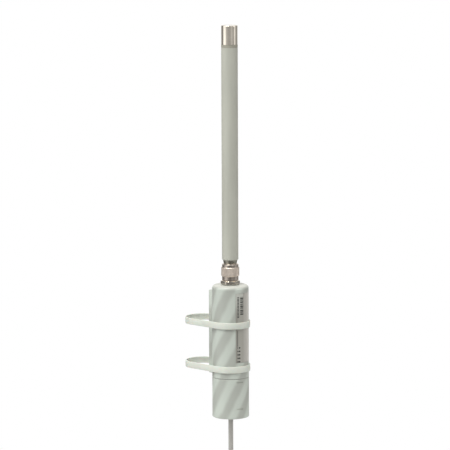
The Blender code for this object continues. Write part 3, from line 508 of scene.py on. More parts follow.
# Plain finishes: sRGB colour, roughness, grains per metre and their depth in mm, change of tint, and more
METAL = {"metallic": 1.0}
PLAIN = {
    "radome_fibreglass": ((182, 182, 171), 0.5, 1400.0, 0.05, 0.05, {"stretch": (1, 1, 0.15)}),
    "radiator_brass": ((214, 178, 104), 0.28, 900.0, 0.03, 0.06, METAL),
    "contact_gold": ((232, 196, 104), 0.2, 900.0, 0.01, 0.04, METAL),
    "ptfe": ((238, 238, 234), 0.45, 1200.0, 0.03, 0.03, {}),
    "black_rubber": ((52, 52, 52), 0.72, 1800.0, 0.08, 0.15, {}),
    "white_nylon": ((212, 215, 205), 0.38, 700.0, 0.04, 0.03,
                    {"Subsurface_Weight": 0.1, "Subsurface_Scale": MM}),
    "plain_steel": ((190, 190, 188), 0.3, 600.0, 0.02, 0.05, {"stretch": (1, 1, 10), **METAL}),
    "clear_plastic": ((232, 238, 234), 0.08, 500.0, 0.01, 0.02, {"Transmission_Weight": 0.9, "IOR": 1.58}),
    "switch_plastic": ((48, 48, 50), 0.5, 1500.0, 0.05, 0.1, {}),
    "lead_jacket": ((177, 175, 169), 0.5, 1200.0, 0.06, 0.05, {}),
    "seal_grey": ((120, 122, 118), 0.7, 1800.0, 0.06, 0.1, {}),
    "gasket_grey": ((168, 170, 163), 0.6, 1800.0, 0.06, 0.06, {}),
    "ring_grey": ((160, 157, 143), 0.6, 1800.0, 0.05, 0.05, {}),
    "print_grey": ((60, 60, 57), 0.5, 1500.0, 0.01, 0.08, {}),
    "lens_dark": ((70, 72, 66), 0.12, 800.0, 0.01, 0.05, {}),
}
# Nickel plate: sRGB colour and range of roughness
NICKEL = {
    "nickel_plate": ((232, 224, 210), 0.08, 0.2),
    "nut_nickel": (NUT_COLOUR, 0.08, 0.2),
    "knurl_nickel": (NUT_COLOUR, 0.3, 0.42),
    # Darker copy of the nickel plate: painted shade on the neck
    "neck_shaded_nickel": ((192, 187, 172), 0.1, 0.22),
}
FINISHES = {
    "housing_plastic": housing_finish(),
    "label_film": label_finish(),
    "circuit_board": board_finish(),
    "white_foam": foam_finish(),
    "hook_and_loop": loop_fabric_finish(),
}
for name, (*numbers, more) in PLAIN.items():
    FINISHES[name] = grained(name, *numbers, **more)
for name, numbers in NICKEL.items():
    FINISHES[name] = nickel(name, *numbers)


def paint(item, finish):
    item.data.materials.clear()
    item.data.materials.append(FINISHES[finish])


def dress(item, slot, body, *nodes, finish=None):
    """Gives a piece its finish and body, and the CAD nodes that it stands for."""
    paint(item, finish or slot)
    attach(item, body)
    if nodes:
        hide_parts(*nodes)
    return item


for part in frame["record"]["subparts"]:
    paint(NODES[part["node"]], part["material_slot"])
paint(NODES["cover_gasket"], "gasket_grey")
paint(NODES["jack_seal"], "seal_grey")


# Antenna
RADOME_R = 9.8 * MM
RADOME_BORE_R = 8.0 * MM
RADOME_EDGE = 1.4 * MM
CAP_EDGE = 0.9 * MM
CAP_EDGE_POINTS = 7
CAP_ROOF = 2.5 * MM
CAP_BORE_R = RADOME_R - 0.45 * MM
LIP = 0.15 * MM
LIP_POINTS = 3
NECK_TOP_R = 8.6 * MM
NECK_FOOT_R = 8.0 * MM
NECK_BORE_R = 4.6 * MM
NECK_EDGE = 0.35 * MM
NECK_EDGE_POINTS = 4


def build_radome():
    """The tube, turned down at its top for the cap, and the ring between the two."""
    low = low_z("radome_tube")
    high = high_z("radome_tube")
    ring_foot = low_z("cap_seal")
    ring_top = high_z("cap_seal")
    shoulder = ring_foot - SEAT
    dress(turned("antenna_radome", [
        (CAP_BORE_R - SEAT, high),
        (CAP_BORE_R - SEAT, shoulder),
        *top_edge(RADOME_R, shoulder, LIP, LIP_POINTS),
        *foot_edge(RADOME_R, low, RADOME_EDGE),
        (RADOME_BORE_R, low),
        (RADOME_BORE_R, high),
    ]), "radome_fibreglass", "antenna", "radome_tube")
    dress(turned("cap_ring", [
        *top_edge(RADOME_R, ring_top, LIP, LIP_POINTS),
        *foot_edge(RADOME_R, ring_foot, LIP, LIP_POINTS),
        (CAP_BORE_R, ring_foot),
        (CAP_BORE_R, ring_top),
    ]), "black_rubber", "antenna", "cap_seal", finish="ring_grey")


def build_cap():
    top = high_z("top_cap")
    foot = high_z("cap_seal") + SEAT
    roof = top - CAP_ROOF
    dress(turned("antenna_cap", [
        (0, top),
        *top_edge(RADOME_R, top, CAP_EDGE, CAP_EDGE_POINTS),
        *foot_edge(RADOME_R, foot, LIP, LIP_POINTS),
        (CAP_BORE_R, foot),
        (CAP_BORE_R, roof),
        (0, roof),
    ]), "nickel_plate", "antenna", "top_cap")


def build_neck():
    top = high_z("neck_bush")
    foot = low_z("neck_bush")
    shoulder = low_z("radome_tube") - SEAT
    spigot_r = RADOME_BORE_R - FIT
    # The neck wears the darker nickel, painted shade
    dress(turned("antenna_neck", [
        (spigot_r, top),
        (spigot_r, shoulder),
        *top_edge(NECK_TOP_R, shoulder, NECK_EDGE, NECK_EDGE_POINTS),
        *foot_edge(NECK_FOOT_R, foot, NECK_EDGE, NECK_EDGE_POINTS),
        (NECK_BORE_R, foot),
        (NECK_BORE_R, top),
    ]), "nickel_plate", "antenna", "neck_bush", finish="neck_shaded_nickel")


# Coupling nut with a diamond knurl
NUT_BORE_R = 8.25 * MM
NUT_NECK_R = 6.6 * MM
NUT_SKIRT_R = 9.95 * MM
NUT_KNURL_R = 10.8 * MM
NUT_SKIRT_H = 4.9 * MM
NUT_KNURL_H = 10.8 * MM
NUT_SHOULDER = 14.9 * MM
NUT_EDGE = 0.5 * MM
NUT_BEVEL = 0.3 * MM
KNURL_COUNT = 56
KNURL_STEPS = 6
KNURL_PITCH = 1.2 * MM
KNURL_DEPTH = 0.35 * MM
KNURL_ROWS = 50


def ridge(share):
    """Triangle wave from 0 to 1 over a share's whole numbers."""
    part = share - floor(share)
    return 1 - abs(2 * part - 1)


def build_nut():
    foot = low_z("coupling_nut")
    top = high_z("coupling_nut")
    knurl_foot = foot + NUT_SKIRT_H
    knurl_top = knurl_foot + NUT_KNURL_H
    knurl_root = NUT_KNURL_R - KNURL_DEPTH - NUT_BEVEL
    step = (NUT_KNURL_H - 2 * NUT_EDGE) / (KNURL_ROWS - 1)

    def knurled(angle, radius, height):
        if radius < NUT_KNURL_R - TINY:
            return radius
        turn = KNURL_COUNT * angle / (2 * pi)
        climb = (height - knurl_foot) / KNURL_PITCH
        return radius - KNURL_DEPTH * (1 - min(ridge(turn + climb), ridge(turn - climb)))

    nut = turned("knurled_nut", [
        (NUT_SKIRT_R - NUT_EDGE, top),
        (NUT_SKIRT_R, top - NUT_EDGE),
        (NUT_SKIRT_R, knurl_top),
        (knurl_root, knurl_top),
        *[(NUT_KNURL_R, knurl_top - NUT_EDGE - step * index) for index in range(KNURL_ROWS)],
        (knurl_root, knurl_foot),
        (NUT_SKIRT_R, knurl_foot),
        (NUT_SKIRT_R, foot + NUT_BEVEL),
        (NUT_SKIRT_R - NUT_BEVEL, foot),
        (NUT_BORE_R, foot),
        (NUT_BORE_R, foot + NUT_SHOULDER),
        (NUT_NECK_R, foot + NUT_SHOULDER),
        (NUT_NECK_R, top),
    ], even_angles(KNURL_COUNT * KNURL_STEPS), knurled, FINE_SHARP)
    dress(nut, "nickel_plate", "coupling_nut", "coupling_nut", finish="nut_nickel")
    nut.data.materials.append(FINISHES["knurl_nickel"])
    for face in nut.data.polygons:
        outward = face.center - Vector((0, AXIS_Y, face.center.z))
        if outward.length > NUT_SKIRT_R and knurl_foot < face.center.z < knurl_top:
            face.material_index = 1


# Jack with a chamfered hex flange and a threaded nose
THREAD_R = 7.95 * MM
THREAD_PITCH = 1.0583 * MM
THREAD_DEPTH = 0.45 * MM
THREAD_CREST = 0.1 * MM
THREAD_LEAD_IN = 0.5 * MM
FLANGE_FLAT_R = 10.5 * MM
FLANGE_LOW = 1.1 * MM
FLANGE_H = 3.9 * MM
FLANGE_TURNED_OFF = 0.55 * MM
FLANGE_CHAMFER = 0.6 * MM
FLANGE_EDGE = 0.2 * MM
JACK_BORE_R = 4.3 * MM
JACK_LINE_R = 3.5 * MM
JACK_BORE_DEPTH = 9.0 * MM
HEX_STEPS = 144


def flats(angle, radius, height):
    """Radius kept within a hexagon outside the thread, with one flat towards the photograph's camera."""
    if radius <= THREAD_R + TINY:
        return radius
    part = (angle - PHOTO_AZIMUTH + pi / 6) % (pi / 3) - pi / 6
    return min(radius, FLANGE_FLAT_R / cos(part))


def build_jack():
    foot = low_z("jack_body")
    top = high_z("jack_body")
    flange_low = high_z("housing_shell") + FLANGE_LOW
    flange_top = flange_low + FLANGE_H
    corner_r = FLANGE_FLAT_R / cos(pi / 6) - FLANGE_TURNED_OFF
    thread = []
    for index in range(int((top - flange_top) / THREAD_PITCH)):
        crest = top - THREAD_PITCH * (index + 0.5)
        thread.append((THREAD_R, crest + THREAD_CREST))
        thread.append((THREAD_R, crest - THREAD_CREST))
        thread.append((THREAD_R - THREAD_DEPTH, crest - THREAD_PITCH / 2))
    dress(turned("connector_jack", [
        (THREAD_R - THREAD_LEAD_IN, top),
        *thread,
        (THREAD_R, flange_top),
        (FLANGE_FLAT_R - FLANGE_EDGE, flange_top),
        (corner_r, flange_top - FLANGE_CHAMFER),
        (corner_r, flange_low + FLANGE_EDGE),
        (corner_r - FLANGE_EDGE, flange_low),
        (THREAD_R, flange_low),
        (THREAD_R, foot),
        (JACK_LINE_R, foot),
        (JACK_LINE_R, top - JACK_BORE_DEPTH),
        (JACK_BORE_R, top - JACK_BORE_DEPTH),
        (JACK_BORE_R, top),
    ], even_angles(HEX_STEPS), flats, FINE_SHARP), "nickel_plate", "radio_unit", "jack_body")


# Housing and cover. A sunk place in their wall is its start and end angles, foot, top and depth
WALL = 2.2 * MM
WALL_STEPS = 144
WALL_EDGE = 0.3 * MM
POCKET_EDGE = 0.02 * MM
POCKET_CLEAR = 4
LABEL_DEPTH = 0.45 * MM
ROOF = 3.0 * MM
ROOF_HOLE_R = 8.25 * MM
SHOULDER_R = 4.5 * MM
SHOULDER_POINTS = 9
SHOULDER_DROP = 0.5 * MM
SPIGOT_R = 19.5 * MM
SPIGOT_BORE_R = 17.9 * MM
SPIGOT_H = 12.0 * MM
SPIGOT_LEDGE = 2.0 * MM
RAIL_X = 9.0 * MM
RAIL_HALF_W = 2.0 * MM
RAIL_ROOT = 18.0 * MM
RAIL_END = 3.0 * MM
RAIL_EDGE = 0.5 * MM
SLIT_ANGLE = radians(-18)
SLIT_HALF_ANGLE = 4.5 * MM / HOUSING_R
SLIT_HALF_H = 0.6 * MM
SLIT_DEPTH = 0.8 * MM
SLIT_DROPS = (4.6 * MM, 36.8 * MM)
COVER_EDGE_R = 1.6 * MM
COVER_FLOOR = 2.5 * MM
CABLE_HOLE_R = 8.0 * MM
GROMMET_LIP_R = CABLE_HOLE_R + 1.5 * MM
GROMMET_BORE_R = 3.2 * MM
GROMMET_EDGE = 0.5 * MM


def pocket_angles(pockets):
    """Even angles, with pairs of close ones at the sides of sunk places."""
    angles = even_angles(WALL_STEPS)
    lean = POCKET_EDGE / HOUSING_R
    for start, end, _, _, _ in pockets:
        angles = [angle for angle in angles
                  if min(abs(angle - start), abs(angle - end)) > POCKET_CLEAR * lean]
        angles += [start - lean, start + lean, end - lean, end + lean]
    return sorted(set(angles))


def wall(pockets, high, low):
    """Points down a wall, with pairs of close ones at the ends of sunk places."""
    heights = {high, low}
    for _, _, foot, top, _ in pockets:
        heights |= {foot - POCKET_EDGE, foot + POCKET_EDGE, top - POCKET_EDGE, top + POCKET_EDGE}
    return [(HOUSING_R, height) for height in sorted(heights, reverse=True)]


def sunk(pockets):
    """Radius at a place of a wall that has sunk places."""
    def radius_at(angle, radius, height):
        if radius < HOUSING_R - TINY:
            return radius
        for start, end, foot, top, depth in pockets:
            if start < angle < end and foot < height < top:
                return radius - depth
        return radius
    return radius_at


def build_housing():
    roof = high_z("housing_shell")
    spigot_foot = low_z("housing_shell")
    parting = spigot_foot + SPIGOT_H
    ledge = parting + SPIGOT_LEDGE
    label_low, label_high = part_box("front_label")
    pockets = [(-LABEL_HALF_ANGLE, LABEL_HALF_ANGLE, label_low.z - FIT, label_high.z + FIT, LABEL_DEPTH)]
    dress(turned("housing_body", [
        (ROOF_HOLE_R, roof),
        *top_edge(HOUSING_R, roof, SHOULDER_R, SHOULDER_POINTS),
        *wall(pockets, roof - SHOULDER_R - SHOULDER_DROP, parting + WALL_EDGE),
        (HOUSING_R - WALL_EDGE, parting),
        (SPIGOT_R, parting),
        (SPIGOT_R, spigot_foot + WALL_EDGE),
        (SPIGOT_R - WALL_EDGE, spigot_foot),
        (SPIGOT_BORE_R, spigot_foot),
        (SPIGOT_BORE_R, ledge),
        (HOUSING_R - WALL, ledge),
        (HOUSING_R - WALL, roof - ROOF),
        (ROOF_HOLE_R, roof - ROOF),
    ], pocket_angles(pockets), sunk(pockets)), "housing_plastic", "radio_unit", "housing_shell")
    rail_back = frame["record"]["mounts"][1]["pos_m"][1]
    for side, x in (("left", -RAIL_X), ("right", RAIL_X)):
        low = (x - RAIL_HALF_W, AXIS_Y + RAIL_ROOT, parting + RAIL_END)
        high = (x + RAIL_HALF_W, rail_back, roof - SHOULDER_R - RAIL_END)
        dress(block(f"{side}_rail", low, high, RAIL_EDGE), "housing_plastic", "radio_unit")


def build_cover():
    foot = low_z("bottom_cover")
    rim = high_z("bottom_cover")
    floor_top = foot + COVER_FLOOR
    parting = low_z("housing_shell") + SPIGOT_H
    pockets = [(SLIT_ANGLE - SLIT_HALF_ANGLE, SLIT_ANGLE + SLIT_HALF_ANGLE, parting - drop - SLIT_HALF_H,
                parting - drop + SLIT_HALF_H, SLIT_DEPTH) for drop in SLIT_DROPS]
    dress(turned("cover_shell", [
        (HOUSING_R - WALL_EDGE, rim),
        *wall(pockets, rim - WALL_EDGE, foot + COVER_EDGE_R + WALL_EDGE),
        *foot_edge(HOUSING_R, foot, COVER_EDGE_R),
        (CABLE_HOLE_R, foot),
        (CABLE_HOLE_R, floor_top),
        (HOUSING_R - WALL, floor_top),
        (HOUSING_R - WALL, rim),
    ], pocket_angles(pockets), sunk(pockets)), "housing_plastic", "bottom_cover", "bottom_cover")
    low = low_z("cable_grommet")
    high = high_z("cable_grommet")
    waist = CABLE_HOLE_R - FIT
    dress(turned("lead_grommet", [
        *top_edge(GROMMET_LIP_R, high, GROMMET_EDGE),
        (GROMMET_LIP_R, floor_top + SEAT),
        (waist, floor_top + SEAT),
        (waist, foot - SEAT),
        (GROMMET_LIP_R, foot - SEAT),
        *foot_edge(GROMMET_LIP_R, low, GROMMET_EDGE),
        *corner(GROMMET_BORE_R + GROMMET_EDGE, low + GROMMET_EDGE, GROMMET_EDGE, 270, 180),
        (GROMMET_BORE_R, high),
    ]), "black_rubber", "bottom_cover", "cable_grommet", finish="seal_grey")


# Label, its print and its lights
PATCH_STEP = radians(2)
LIGHT_X = -7.0 * MM
LIGHT_R = 1.0 * MM
LIGHT_COUNT = 5
LIGHT_PITCH = 4.2 * MM
LIGHT_SEGMENTS = 24
LIGHT_FLATTENED = Matrix.Diagonal((1, 0.35, 1, 1))
PRINT_PROUD = 0.04 * MM
PRINT_LEFT = radians(-26.4)
RULE_W = 0.55 * MM
RULE_SPAN = (1.5 * MM, 20.5 * MM)
METER_BAR_H = 1.4 * MM
METER_BAR_W = 0.8 * MM
METER_BAR_GAIN = 0.7 * MM
MARK_TOP = 61.0 * MM
BARS_FOOT = 40.0 * MM
BARS_SPAN = (radians(-16), radians(-4))
BARS_STEP = 0.5 * MM
TICK_FOOT = 34.0 * MM
TICK_RIGHT = radians(-20)
TICK_H = 1.0 * MM
TICK_PITCH = 1.7 * MM


def curved_patch(shape, start, end, low, high, radius, thickness):
    """A plate on the unit's wall between two angles and two heights, as a closed solid."""
    steps = max(2, round((end - start) / PATCH_STEP))
    inner = radius - thickness
    rows = []
    for index in range(steps + 1):
        angle = start + (end - start) * index / steps
        ends = ((radius, low), (radius, high), (inner, high), (inner, low))
        rows.append([shape.verts.new(on_wall(reach, angle, height)) for reach, height in ends])
    grid_faces(shape, rows, closed_rows=False)


def build_print():
    """A rule and level bars beside the lights, and above them a plain stack of bars and a row of ticks."""
    shape = bmesh.new()

    def patch(start, end, low, high):
        curved_patch(shape, start, end, low, high, HOUSING_R + PRINT_PROUD, PRINT_PROUD)

    patch(PRINT_LEFT, PRINT_LEFT + RULE_W / HOUSING_R, *RULE_SPAN)
    for index in range(LIGHT_COUNT):
        middle = -LIGHT_PITCH * index
        width = METER_BAR_W + METER_BAR_GAIN * index
        patch(PRINT_LEFT, PRINT_LEFT + width / HOUSING_R, middle - METER_BAR_H / 2, middle + METER_BAR_H / 2)
    # Bars are one, three and two steps thick in turn, with a wider gap after every fifth
    top = MARK_TOP
    count = 0
    while top > BARS_FOOT:
        bar = BARS_STEP * (1 + 2 * count % 3)
        patch(*BARS_SPAN, top - bar, top)
        top -= bar + BARS_STEP * (1 + count % 5 // 4)
        count += 1
    for index in range(int((MARK_TOP - TICK_FOOT) / TICK_PITCH)):
        top = MARK_TOP - TICK_PITCH * index
        patch(PRINT_LEFT, TICK_RIGHT, top - TICK_H, top)
    dress(finish_mesh("label_print", shape), "label_film", "radio_unit", finish="print_grey")


def build_label():
    low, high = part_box("front_label")
    margin = LABEL_HALF_ANGLE - FIT / HOUSING_R
    shape = bmesh.new()
    curved_patch(shape, -margin, margin, low.z, high.z, HOUSING_R, LABEL_DEPTH - SEAT)
    dress(finish_mesh("label_plate", shape), "label_film", "radio_unit", "front_label")
    build_print()
    angle = asin(LIGHT_X / HOUSING_R)
    lean = Matrix.Rotation(angle, 4, "Z") @ LIGHT_FLATTENED
    lenses = []
    for index in range(LIGHT_COUNT):
        spot = Matrix.Translation(on_wall(HOUSING_R, angle, -LIGHT_PITCH * index))
        lenses.append(ball(f"light_{index}", LIGHT_R, LIGHT_SEGMENTS, spot @ lean))
    dress(joined("light_lenses", lenses), "clear_plastic", "radio_unit", finish="lens_dark")


# Board's small parts and the Ethernet jack's shield springs, which show when the cover is down
CAN_R = 2.5 * MM
CAN_H = 5.2 * MM
CAN_X = -11.7 * MM
CAN_Z = -57.0 * MM
CAN_EDGE = 0.25 * MM
CAN_SEGMENTS = 40
CAN_BASE = 0.9 * MM
CAN_BASE_W = 2 * CAN_R + 0.3 * MM
CAN_BASE_EDGE = 0.3 * MM
CAN_SUNK = 0.1 * MM
CHIP_H = 1.1 * MM
CHIP_EDGE = 0.12 * MM
# Middle, width and length of each chip in millimetres
CHIPS = ((5.5, -30, 9, 9), (7.5, -45.5, 5, 4), (-11.5, -50.5, 2.6, 1.6), (11.6, -50.2, 3.2, 1.6))
JOINT_ROWS = (-55.6 * MM, -58.1 * MM)
JOINT_H = 0.62 * MM
JOINT_R = 0.8 * JOINT_H
JOINT_SEGMENTS = 16
PEG_R = 1.25 * MM
PEG_H = 0.7 * MM
PEG_X = 6.35 * MM
PEG_Z = -61.2 * MM
SPRING_T = 0.25 * MM
SPRING_W = 2.2 * MM
SPRING_L = 6.0 * MM
SPRING_FOOT = 1.5 * MM
SPRING_EDGE = 0.1 * MM
SPRING_X = 3.6 * MM
SPRING_DEPTHS = (3.6 * MM, 9.2 * MM)


def dome(name, radius, place, height):
    """A low round joint of solder on the board's back."""
    spot = Matrix.Translation(place) @ Matrix.Diagonal((1, height / radius, 1, 1))
    return ball(name, radius, JOINT_SEGMENTS, spot)


def build_board_parts():
    low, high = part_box("main_board")
    front = low.y
    start = front - CAN_BASE + CAN_SUNK
    end = front - CAN_H
    lie = Matrix.Translation((CAN_X, (start + end) / 2, CAN_Z)) @ Matrix.Rotation(pi / 2, 4, "X")
    can = rod("capacitor_can", CAN_R, start - end, CAN_SEGMENTS, lie, CAN_EDGE)
    dress(can, "plain_steel", "radio_unit")
    base_size = (CAN_BASE_W, CAN_BASE, CAN_BASE_W)
    chips = [centred("base", (CAN_X, front - CAN_BASE / 2, CAN_Z), base_size, CAN_BASE_EDGE)]
    for chip in CHIPS:
        x, z, width, length = [value * MM for value in chip]
        chips.append(centred("chip", (x, front - CHIP_H / 2, z), (width, CHIP_H, length), CHIP_EDGE))
    dress(joined("board_chips", chips), "switch_plastic", "radio_unit")
    joints = []
    for index, x in enumerate(CONTACT_XS):
        joints.append(dome("joint", JOINT_R, (x, high.y, JOINT_ROWS[index % 2]), JOINT_H))
    for x in (-PEG_X, PEG_X):
        joints.append(dome("peg", PEG_R, (x, high.y, PEG_Z), PEG_H))
    dress(joined("solder_joints", joints), "plain_steel", "radio_unit")


def build_jack_springs():
    low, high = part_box("ethernet_jack")
    middle_z = low.z + SPRING_FOOT + SPRING_L / 2
    springs = []
    for depth in SPRING_DEPTHS:
        for x in (low.x - SPRING_T / 2, high.x + SPRING_T / 2):
            place = (x, low.y + depth, middle_z)
            springs.append(centred("spring", place, (SPRING_T, SPRING_W, SPRING_L), SPRING_EDGE))
    for x in (-SPRING_X, SPRING_X):
        place = (x, low.y - SPRING_T / 2, middle_z)
        springs.append(centred("spring", place, (SPRING_W, SPRING_T, SPRING_L), SPRING_EDGE))
    dress(joined("jack_springs", springs), "plain_steel", "radio_unit")


# Cable ties
TIE_W = 7.8 * MM
TIE_T = 1.3 * MM
TIE_EDGE = 0.35 * MM
SECTION_POINTS = 4
TOOTH_STEP = 0.3 * MM
TOOTH_DEPTHS = (0.0, 0.12 * MM, 0.24 * MM, 0.36 * MM)
TOOTH_PITCH = TOOTH_STEP * len(TOOTH_DEPTHS)
TOOTH_HALF_W = 2.3 * MM
TOOTH_LEAN = 0.1 * MM
HEAD_L = 10.0 * MM
HEAD_W = 10.0 * MM
HEAD_H = 5.4 * MM
HEAD_EDGE = 0.8 * MM
SLOT_SIDE = 0.15 * MM
SLOT_GAP = 0.2 * MM
SLOT_EDGE = 0.1 * MM
WINDOW_HALF_W = 2.6 * MM
WINDOW_START = 2.4 * MM
WINDOW_END = 1.6 * MM
CUT_PAST = 1.0 * MM
PAWL_TILT = radians(10.5)
PAWL_START = 2.2 * MM
PAWL_L = 5.2 * MM
PAWL_T = 0.9 * MM
PAWL_EDGE = 0.2 * MM
STUB_START = 0.5 * MM
STUB_L = 4.0 * MM
STUB_EDGE = 0.25 * MM
STUB_TEETH = 3
STUB_TOOTH_START = 0.4
STUB_TOOTH_L = 0.6 * TOOTH_PITCH
STUB_TOOTH_H = 0.25 * MM
STUB_TOOTH_EDGE = 0.1 * MM


def belt_path(z):
    """Places and outward ways along a tie's inner line, a tooth's step apart."""
    front_r = HOUSING_R + FIT
    back_r = CLAMP_R + FIT
    lean = asin((front_r - back_r) / -AXIS_Y)
    steps = round(-AXIS_Y * cos(lean) / TOOTH_STEP)
    arcs = ((front_r, AXIS_Y, -pi / 2, pi / 2 + lean), (back_r, 0, pi / 2, pi / 2 - lean))
    path = []
    for radius, y, middle, reach in arcs:
        points = round(2 * reach * radius / TOOTH_STEP)
        for index in range(points):
            angle = middle + reach * (2 * index / (points - 1) - 1)
            way = Vector((cos(angle), sin(angle), 0))
            path.append((way * radius + Vector((0, y, z)), way))
        end, way = path[-1]
        along = Vector((-way.y, way.x, 0))
        path += [(end + along * TOOTH_STEP * index, way) for index in range(1, steps)]
    return path


def strap_section(width, thickness, edge):
    """A flat section with rounded edges, as (out, up) points from its inner face."""
    points = []
    for turn, (out, up) in enumerate(((thickness - edge, 1), (edge, 1), (edge, -1), (thickness - edge, -1))):
        points += corner(out, up * (width / 2 - edge), edge, 90 * turn, 90 * turn + 90, SECTION_POINTS)
    return points


def toothed_section(depth):
    """A strap's section with a tooth cut to a depth in its inner face."""
    section = strap_section(TIE_W, TIE_T, TIE_EDGE)
    inner = [(0.0, TOOTH_HALF_W), (depth, TOOTH_HALF_W - TOOTH_LEAN), (depth, TOOTH_LEAN - TOOTH_HALF_W),
             (0.0, -TOOTH_HALF_W)]
    middle = len(section) // 2
    return section[:middle] + inner + section[middle:]


def tie_head(z):
    """The head's walls round its slot, its pawl in a window, and the strap's end through it."""
    inner_x = (HOUSING_R + CLAMP_R) / 2 + FIT + TIE_T / 2
    outer_x = inner_x + TIE_T / 2 + HEAD_H
    stub_x = inner_x + TIE_T / 2 + HEAD_H / 2
    low_y = (AXIS_Y - HEAD_L) / 2
    high_y = low_y + HEAD_L
    slot_x = stub_x + TIE_T / 2 + SLOT_GAP
    slot_size = (TIE_T + 2 * SLOT_GAP, HEAD_L + 2 * CUT_PAST, TIE_W + 2 * SLOT_SIDE)
    head = cut(
        block("head", (inner_x, low_y, z - HEAD_W / 2), (outer_x, high_y, z + HEAD_W / 2), HEAD_EDGE),
        centred("slot", (stub_x, AXIS_Y / 2, z), slot_size, SLOT_EDGE),
        block("window", (stub_x, low_y + WINDOW_START, z - WINDOW_HALF_W),
              (outer_x + CUT_PAST, high_y - WINDOW_END, z + WINDOW_HALF_W), SLOT_EDGE),
    )
    lean = Matrix.Translation((slot_x, low_y + PAWL_START, z)) @ Matrix.Rotation(-PAWL_TILT, 4, "Z")
    pawl = block("pawl", (0, 0, -TOOTH_HALF_W), (PAWL_T, PAWL_L, TOOTH_HALF_W), PAWL_EDGE, lean)
    stub = block("stub", (stub_x - TIE_T / 2, low_y + STUB_START, z - TIE_W / 2),
                 (stub_x + TIE_T / 2, high_y + STUB_L, z + TIE_W / 2), STUB_EDGE)
    pieces = [head, pawl, stub]
    for index in range(STUB_TEETH):
        y = high_y + TOOTH_PITCH * (index + STUB_TOOTH_START)
        pieces.append(block("tooth", (stub_x, y, z - TOOTH_HALF_W),
                            (stub_x + TIE_T / 2 + STUB_TOOTH_H, y + STUB_TOOTH_L, z + TOOTH_HALF_W),
                            STUB_TOOTH_EDGE))
    return pieces


def build_tie(node):
    z = (low_z(node) + high_z(node)) / 2
    loop = sweep("loop", belt_path(z), [toothed_section(depth) for depth in TOOTH_DEPTHS])
    dress(joined(f"{node}_strap", [loop, *tie_head(z)]), "white_nylon", "radio_unit", node)


# Lead: the same route as its solids, with more points
LEAD_D = 5.8 * MM
LEAD_POINTS = 16
LEAD_ROUND = 5
HANK_Z = -216.0 * MM
HANK_ENTRY = 10.0 * MM
HANK_RUN = 37.6 * MM
HANK_FOLD_R = 17.6 * MM
HANK_WAIST = 5.0 * MM
HANK_STEP = 7.2 * MM
HANK_LAYER = 6.4 * MM
HANK_LAYERS = 4
HANK_LAYER_TURNS = 1.5
HANK_ENTRY_TURN = 0.125
HANK_CLIMB_TURN = 0.25
HANK_TURN_POINTS = 96
TAIL_STEP = 7.6 * MM
TAIL_RUN = 34.0 * MM
TAIL_END = 8.0 * MM
TAIL_POINTS = 11


def ease(share):
    return (1 - cos(pi * min(max(share, 0.0), 1.0))) / 2


def layer_at(turn):
    """Layer of the hank after a number of turns. Part of a turn, along a run, climbs to the next."""
    layer = ease(turn / HANK_ENTRY_TURN)
    for index in range(1, HANK_LAYERS):
        layer += ease((turn - HANK_LAYER_TURNS * index) / HANK_CLIMB_TURN + 0.5)
    return layer


def loop_point(turn):
    """Place on the hank's loop in its own plane. Turn 0 is the waist of the right run, heading down."""
    leg = turn / HANK_LAYER_TURNS
    extra = HANK_LAYER_TURNS * (1 - abs(leg % 2 - 1)) * HANK_STEP
    fold = HANK_FOLD_R + extra
    # Eighths of a turn: half a run, the lower fold, the left run, the upper fold and half a run
    phase = 8 * (turn % 1.0)
    if 1 <= phase < 3 or 5 <= phase < 7:
        angle = pi / 2 * (phase - 1) if phase < 3 else pi / 2 * (phase - 3)
        way = -1 if phase < 3 else 1
        return fold * cos(angle), way * HANK_RUN - fold * sin(angle)
    side = -1 if 3 <= phase < 5 else 1
    height = phase - 4 if side < 0 else -phase if phase < 1 else 8 - phase
    return side * (HANK_WAIST + (HANK_FOLD_R - HANK_WAIST) * ease(abs(height)) + extra), height * HANK_RUN


def lead_points():
    top = high_z("ethernet_lead")
    entry = HANK_Z + HANK_ENTRY
    points = [(0, 0, top + (entry - top) * index / (LEAD_POINTS - 1)) for index in range(LEAD_POINTS)]
    points.append((0, 0, entry - LEAD_D))
    turns = HANK_LAYERS * HANK_LAYER_TURNS
    for index in range(round(turns * HANK_TURN_POINTS)):
        turn = index / HANK_TURN_POINTS
        x, z = loop_point(turn)
        points.append((x - HANK_WAIST, -HANK_LAYER * layer_at(turn), HANK_Z + z))
    front = HANK_LAYER * HANK_LAYERS
    for index in range(TAIL_POINTS):
        share = index / (TAIL_POINTS - 1)
        points.append((0, -front - TAIL_STEP * ease(share), HANK_Z - TAIL_RUN * share))
    points.append((0, -front - TAIL_STEP, HANK_Z - TAIL_RUN - TAIL_END))
    return [(x, AXIS_Y + y, z) for x, y, z in points]


def build_lead():
    curve = bpy.data.curves.new("lead_cord", "CURVE")
    curve.dimensions = "3D"
    curve.bevel_depth = LEAD_D / 2
    curve.bevel_resolution = LEAD_ROUND
    curve.use_fill_caps = True
    points = lead_points()
    spline = curve.splines.new("POLY")
    spline.points.add(len(points) - 1)
    for point, place in zip(spline.points, points):
        point.co = (*place, 1.0)
    spline.use_smooth = True
    return dress(add_object("lead_cord", curve), "lead_jacket", "radio_unit", "ethernet_lead", "lead_hank")


# Hook-and-loop strap round the hank
STRAP_T = 1.4 * MM
STRAP_EDGE = 0.3 * MM
STRAP_CORNER_R = 3.5 * MM
STRAP_CORNER_STEPS = 8
FLAP_T = 0.7 * MM
FLAP_EDGE = 0.25 * MM
FLAP_WIDTH = 0.94
FLAP_SPAN = (-0.55, 0.0, 0.6)


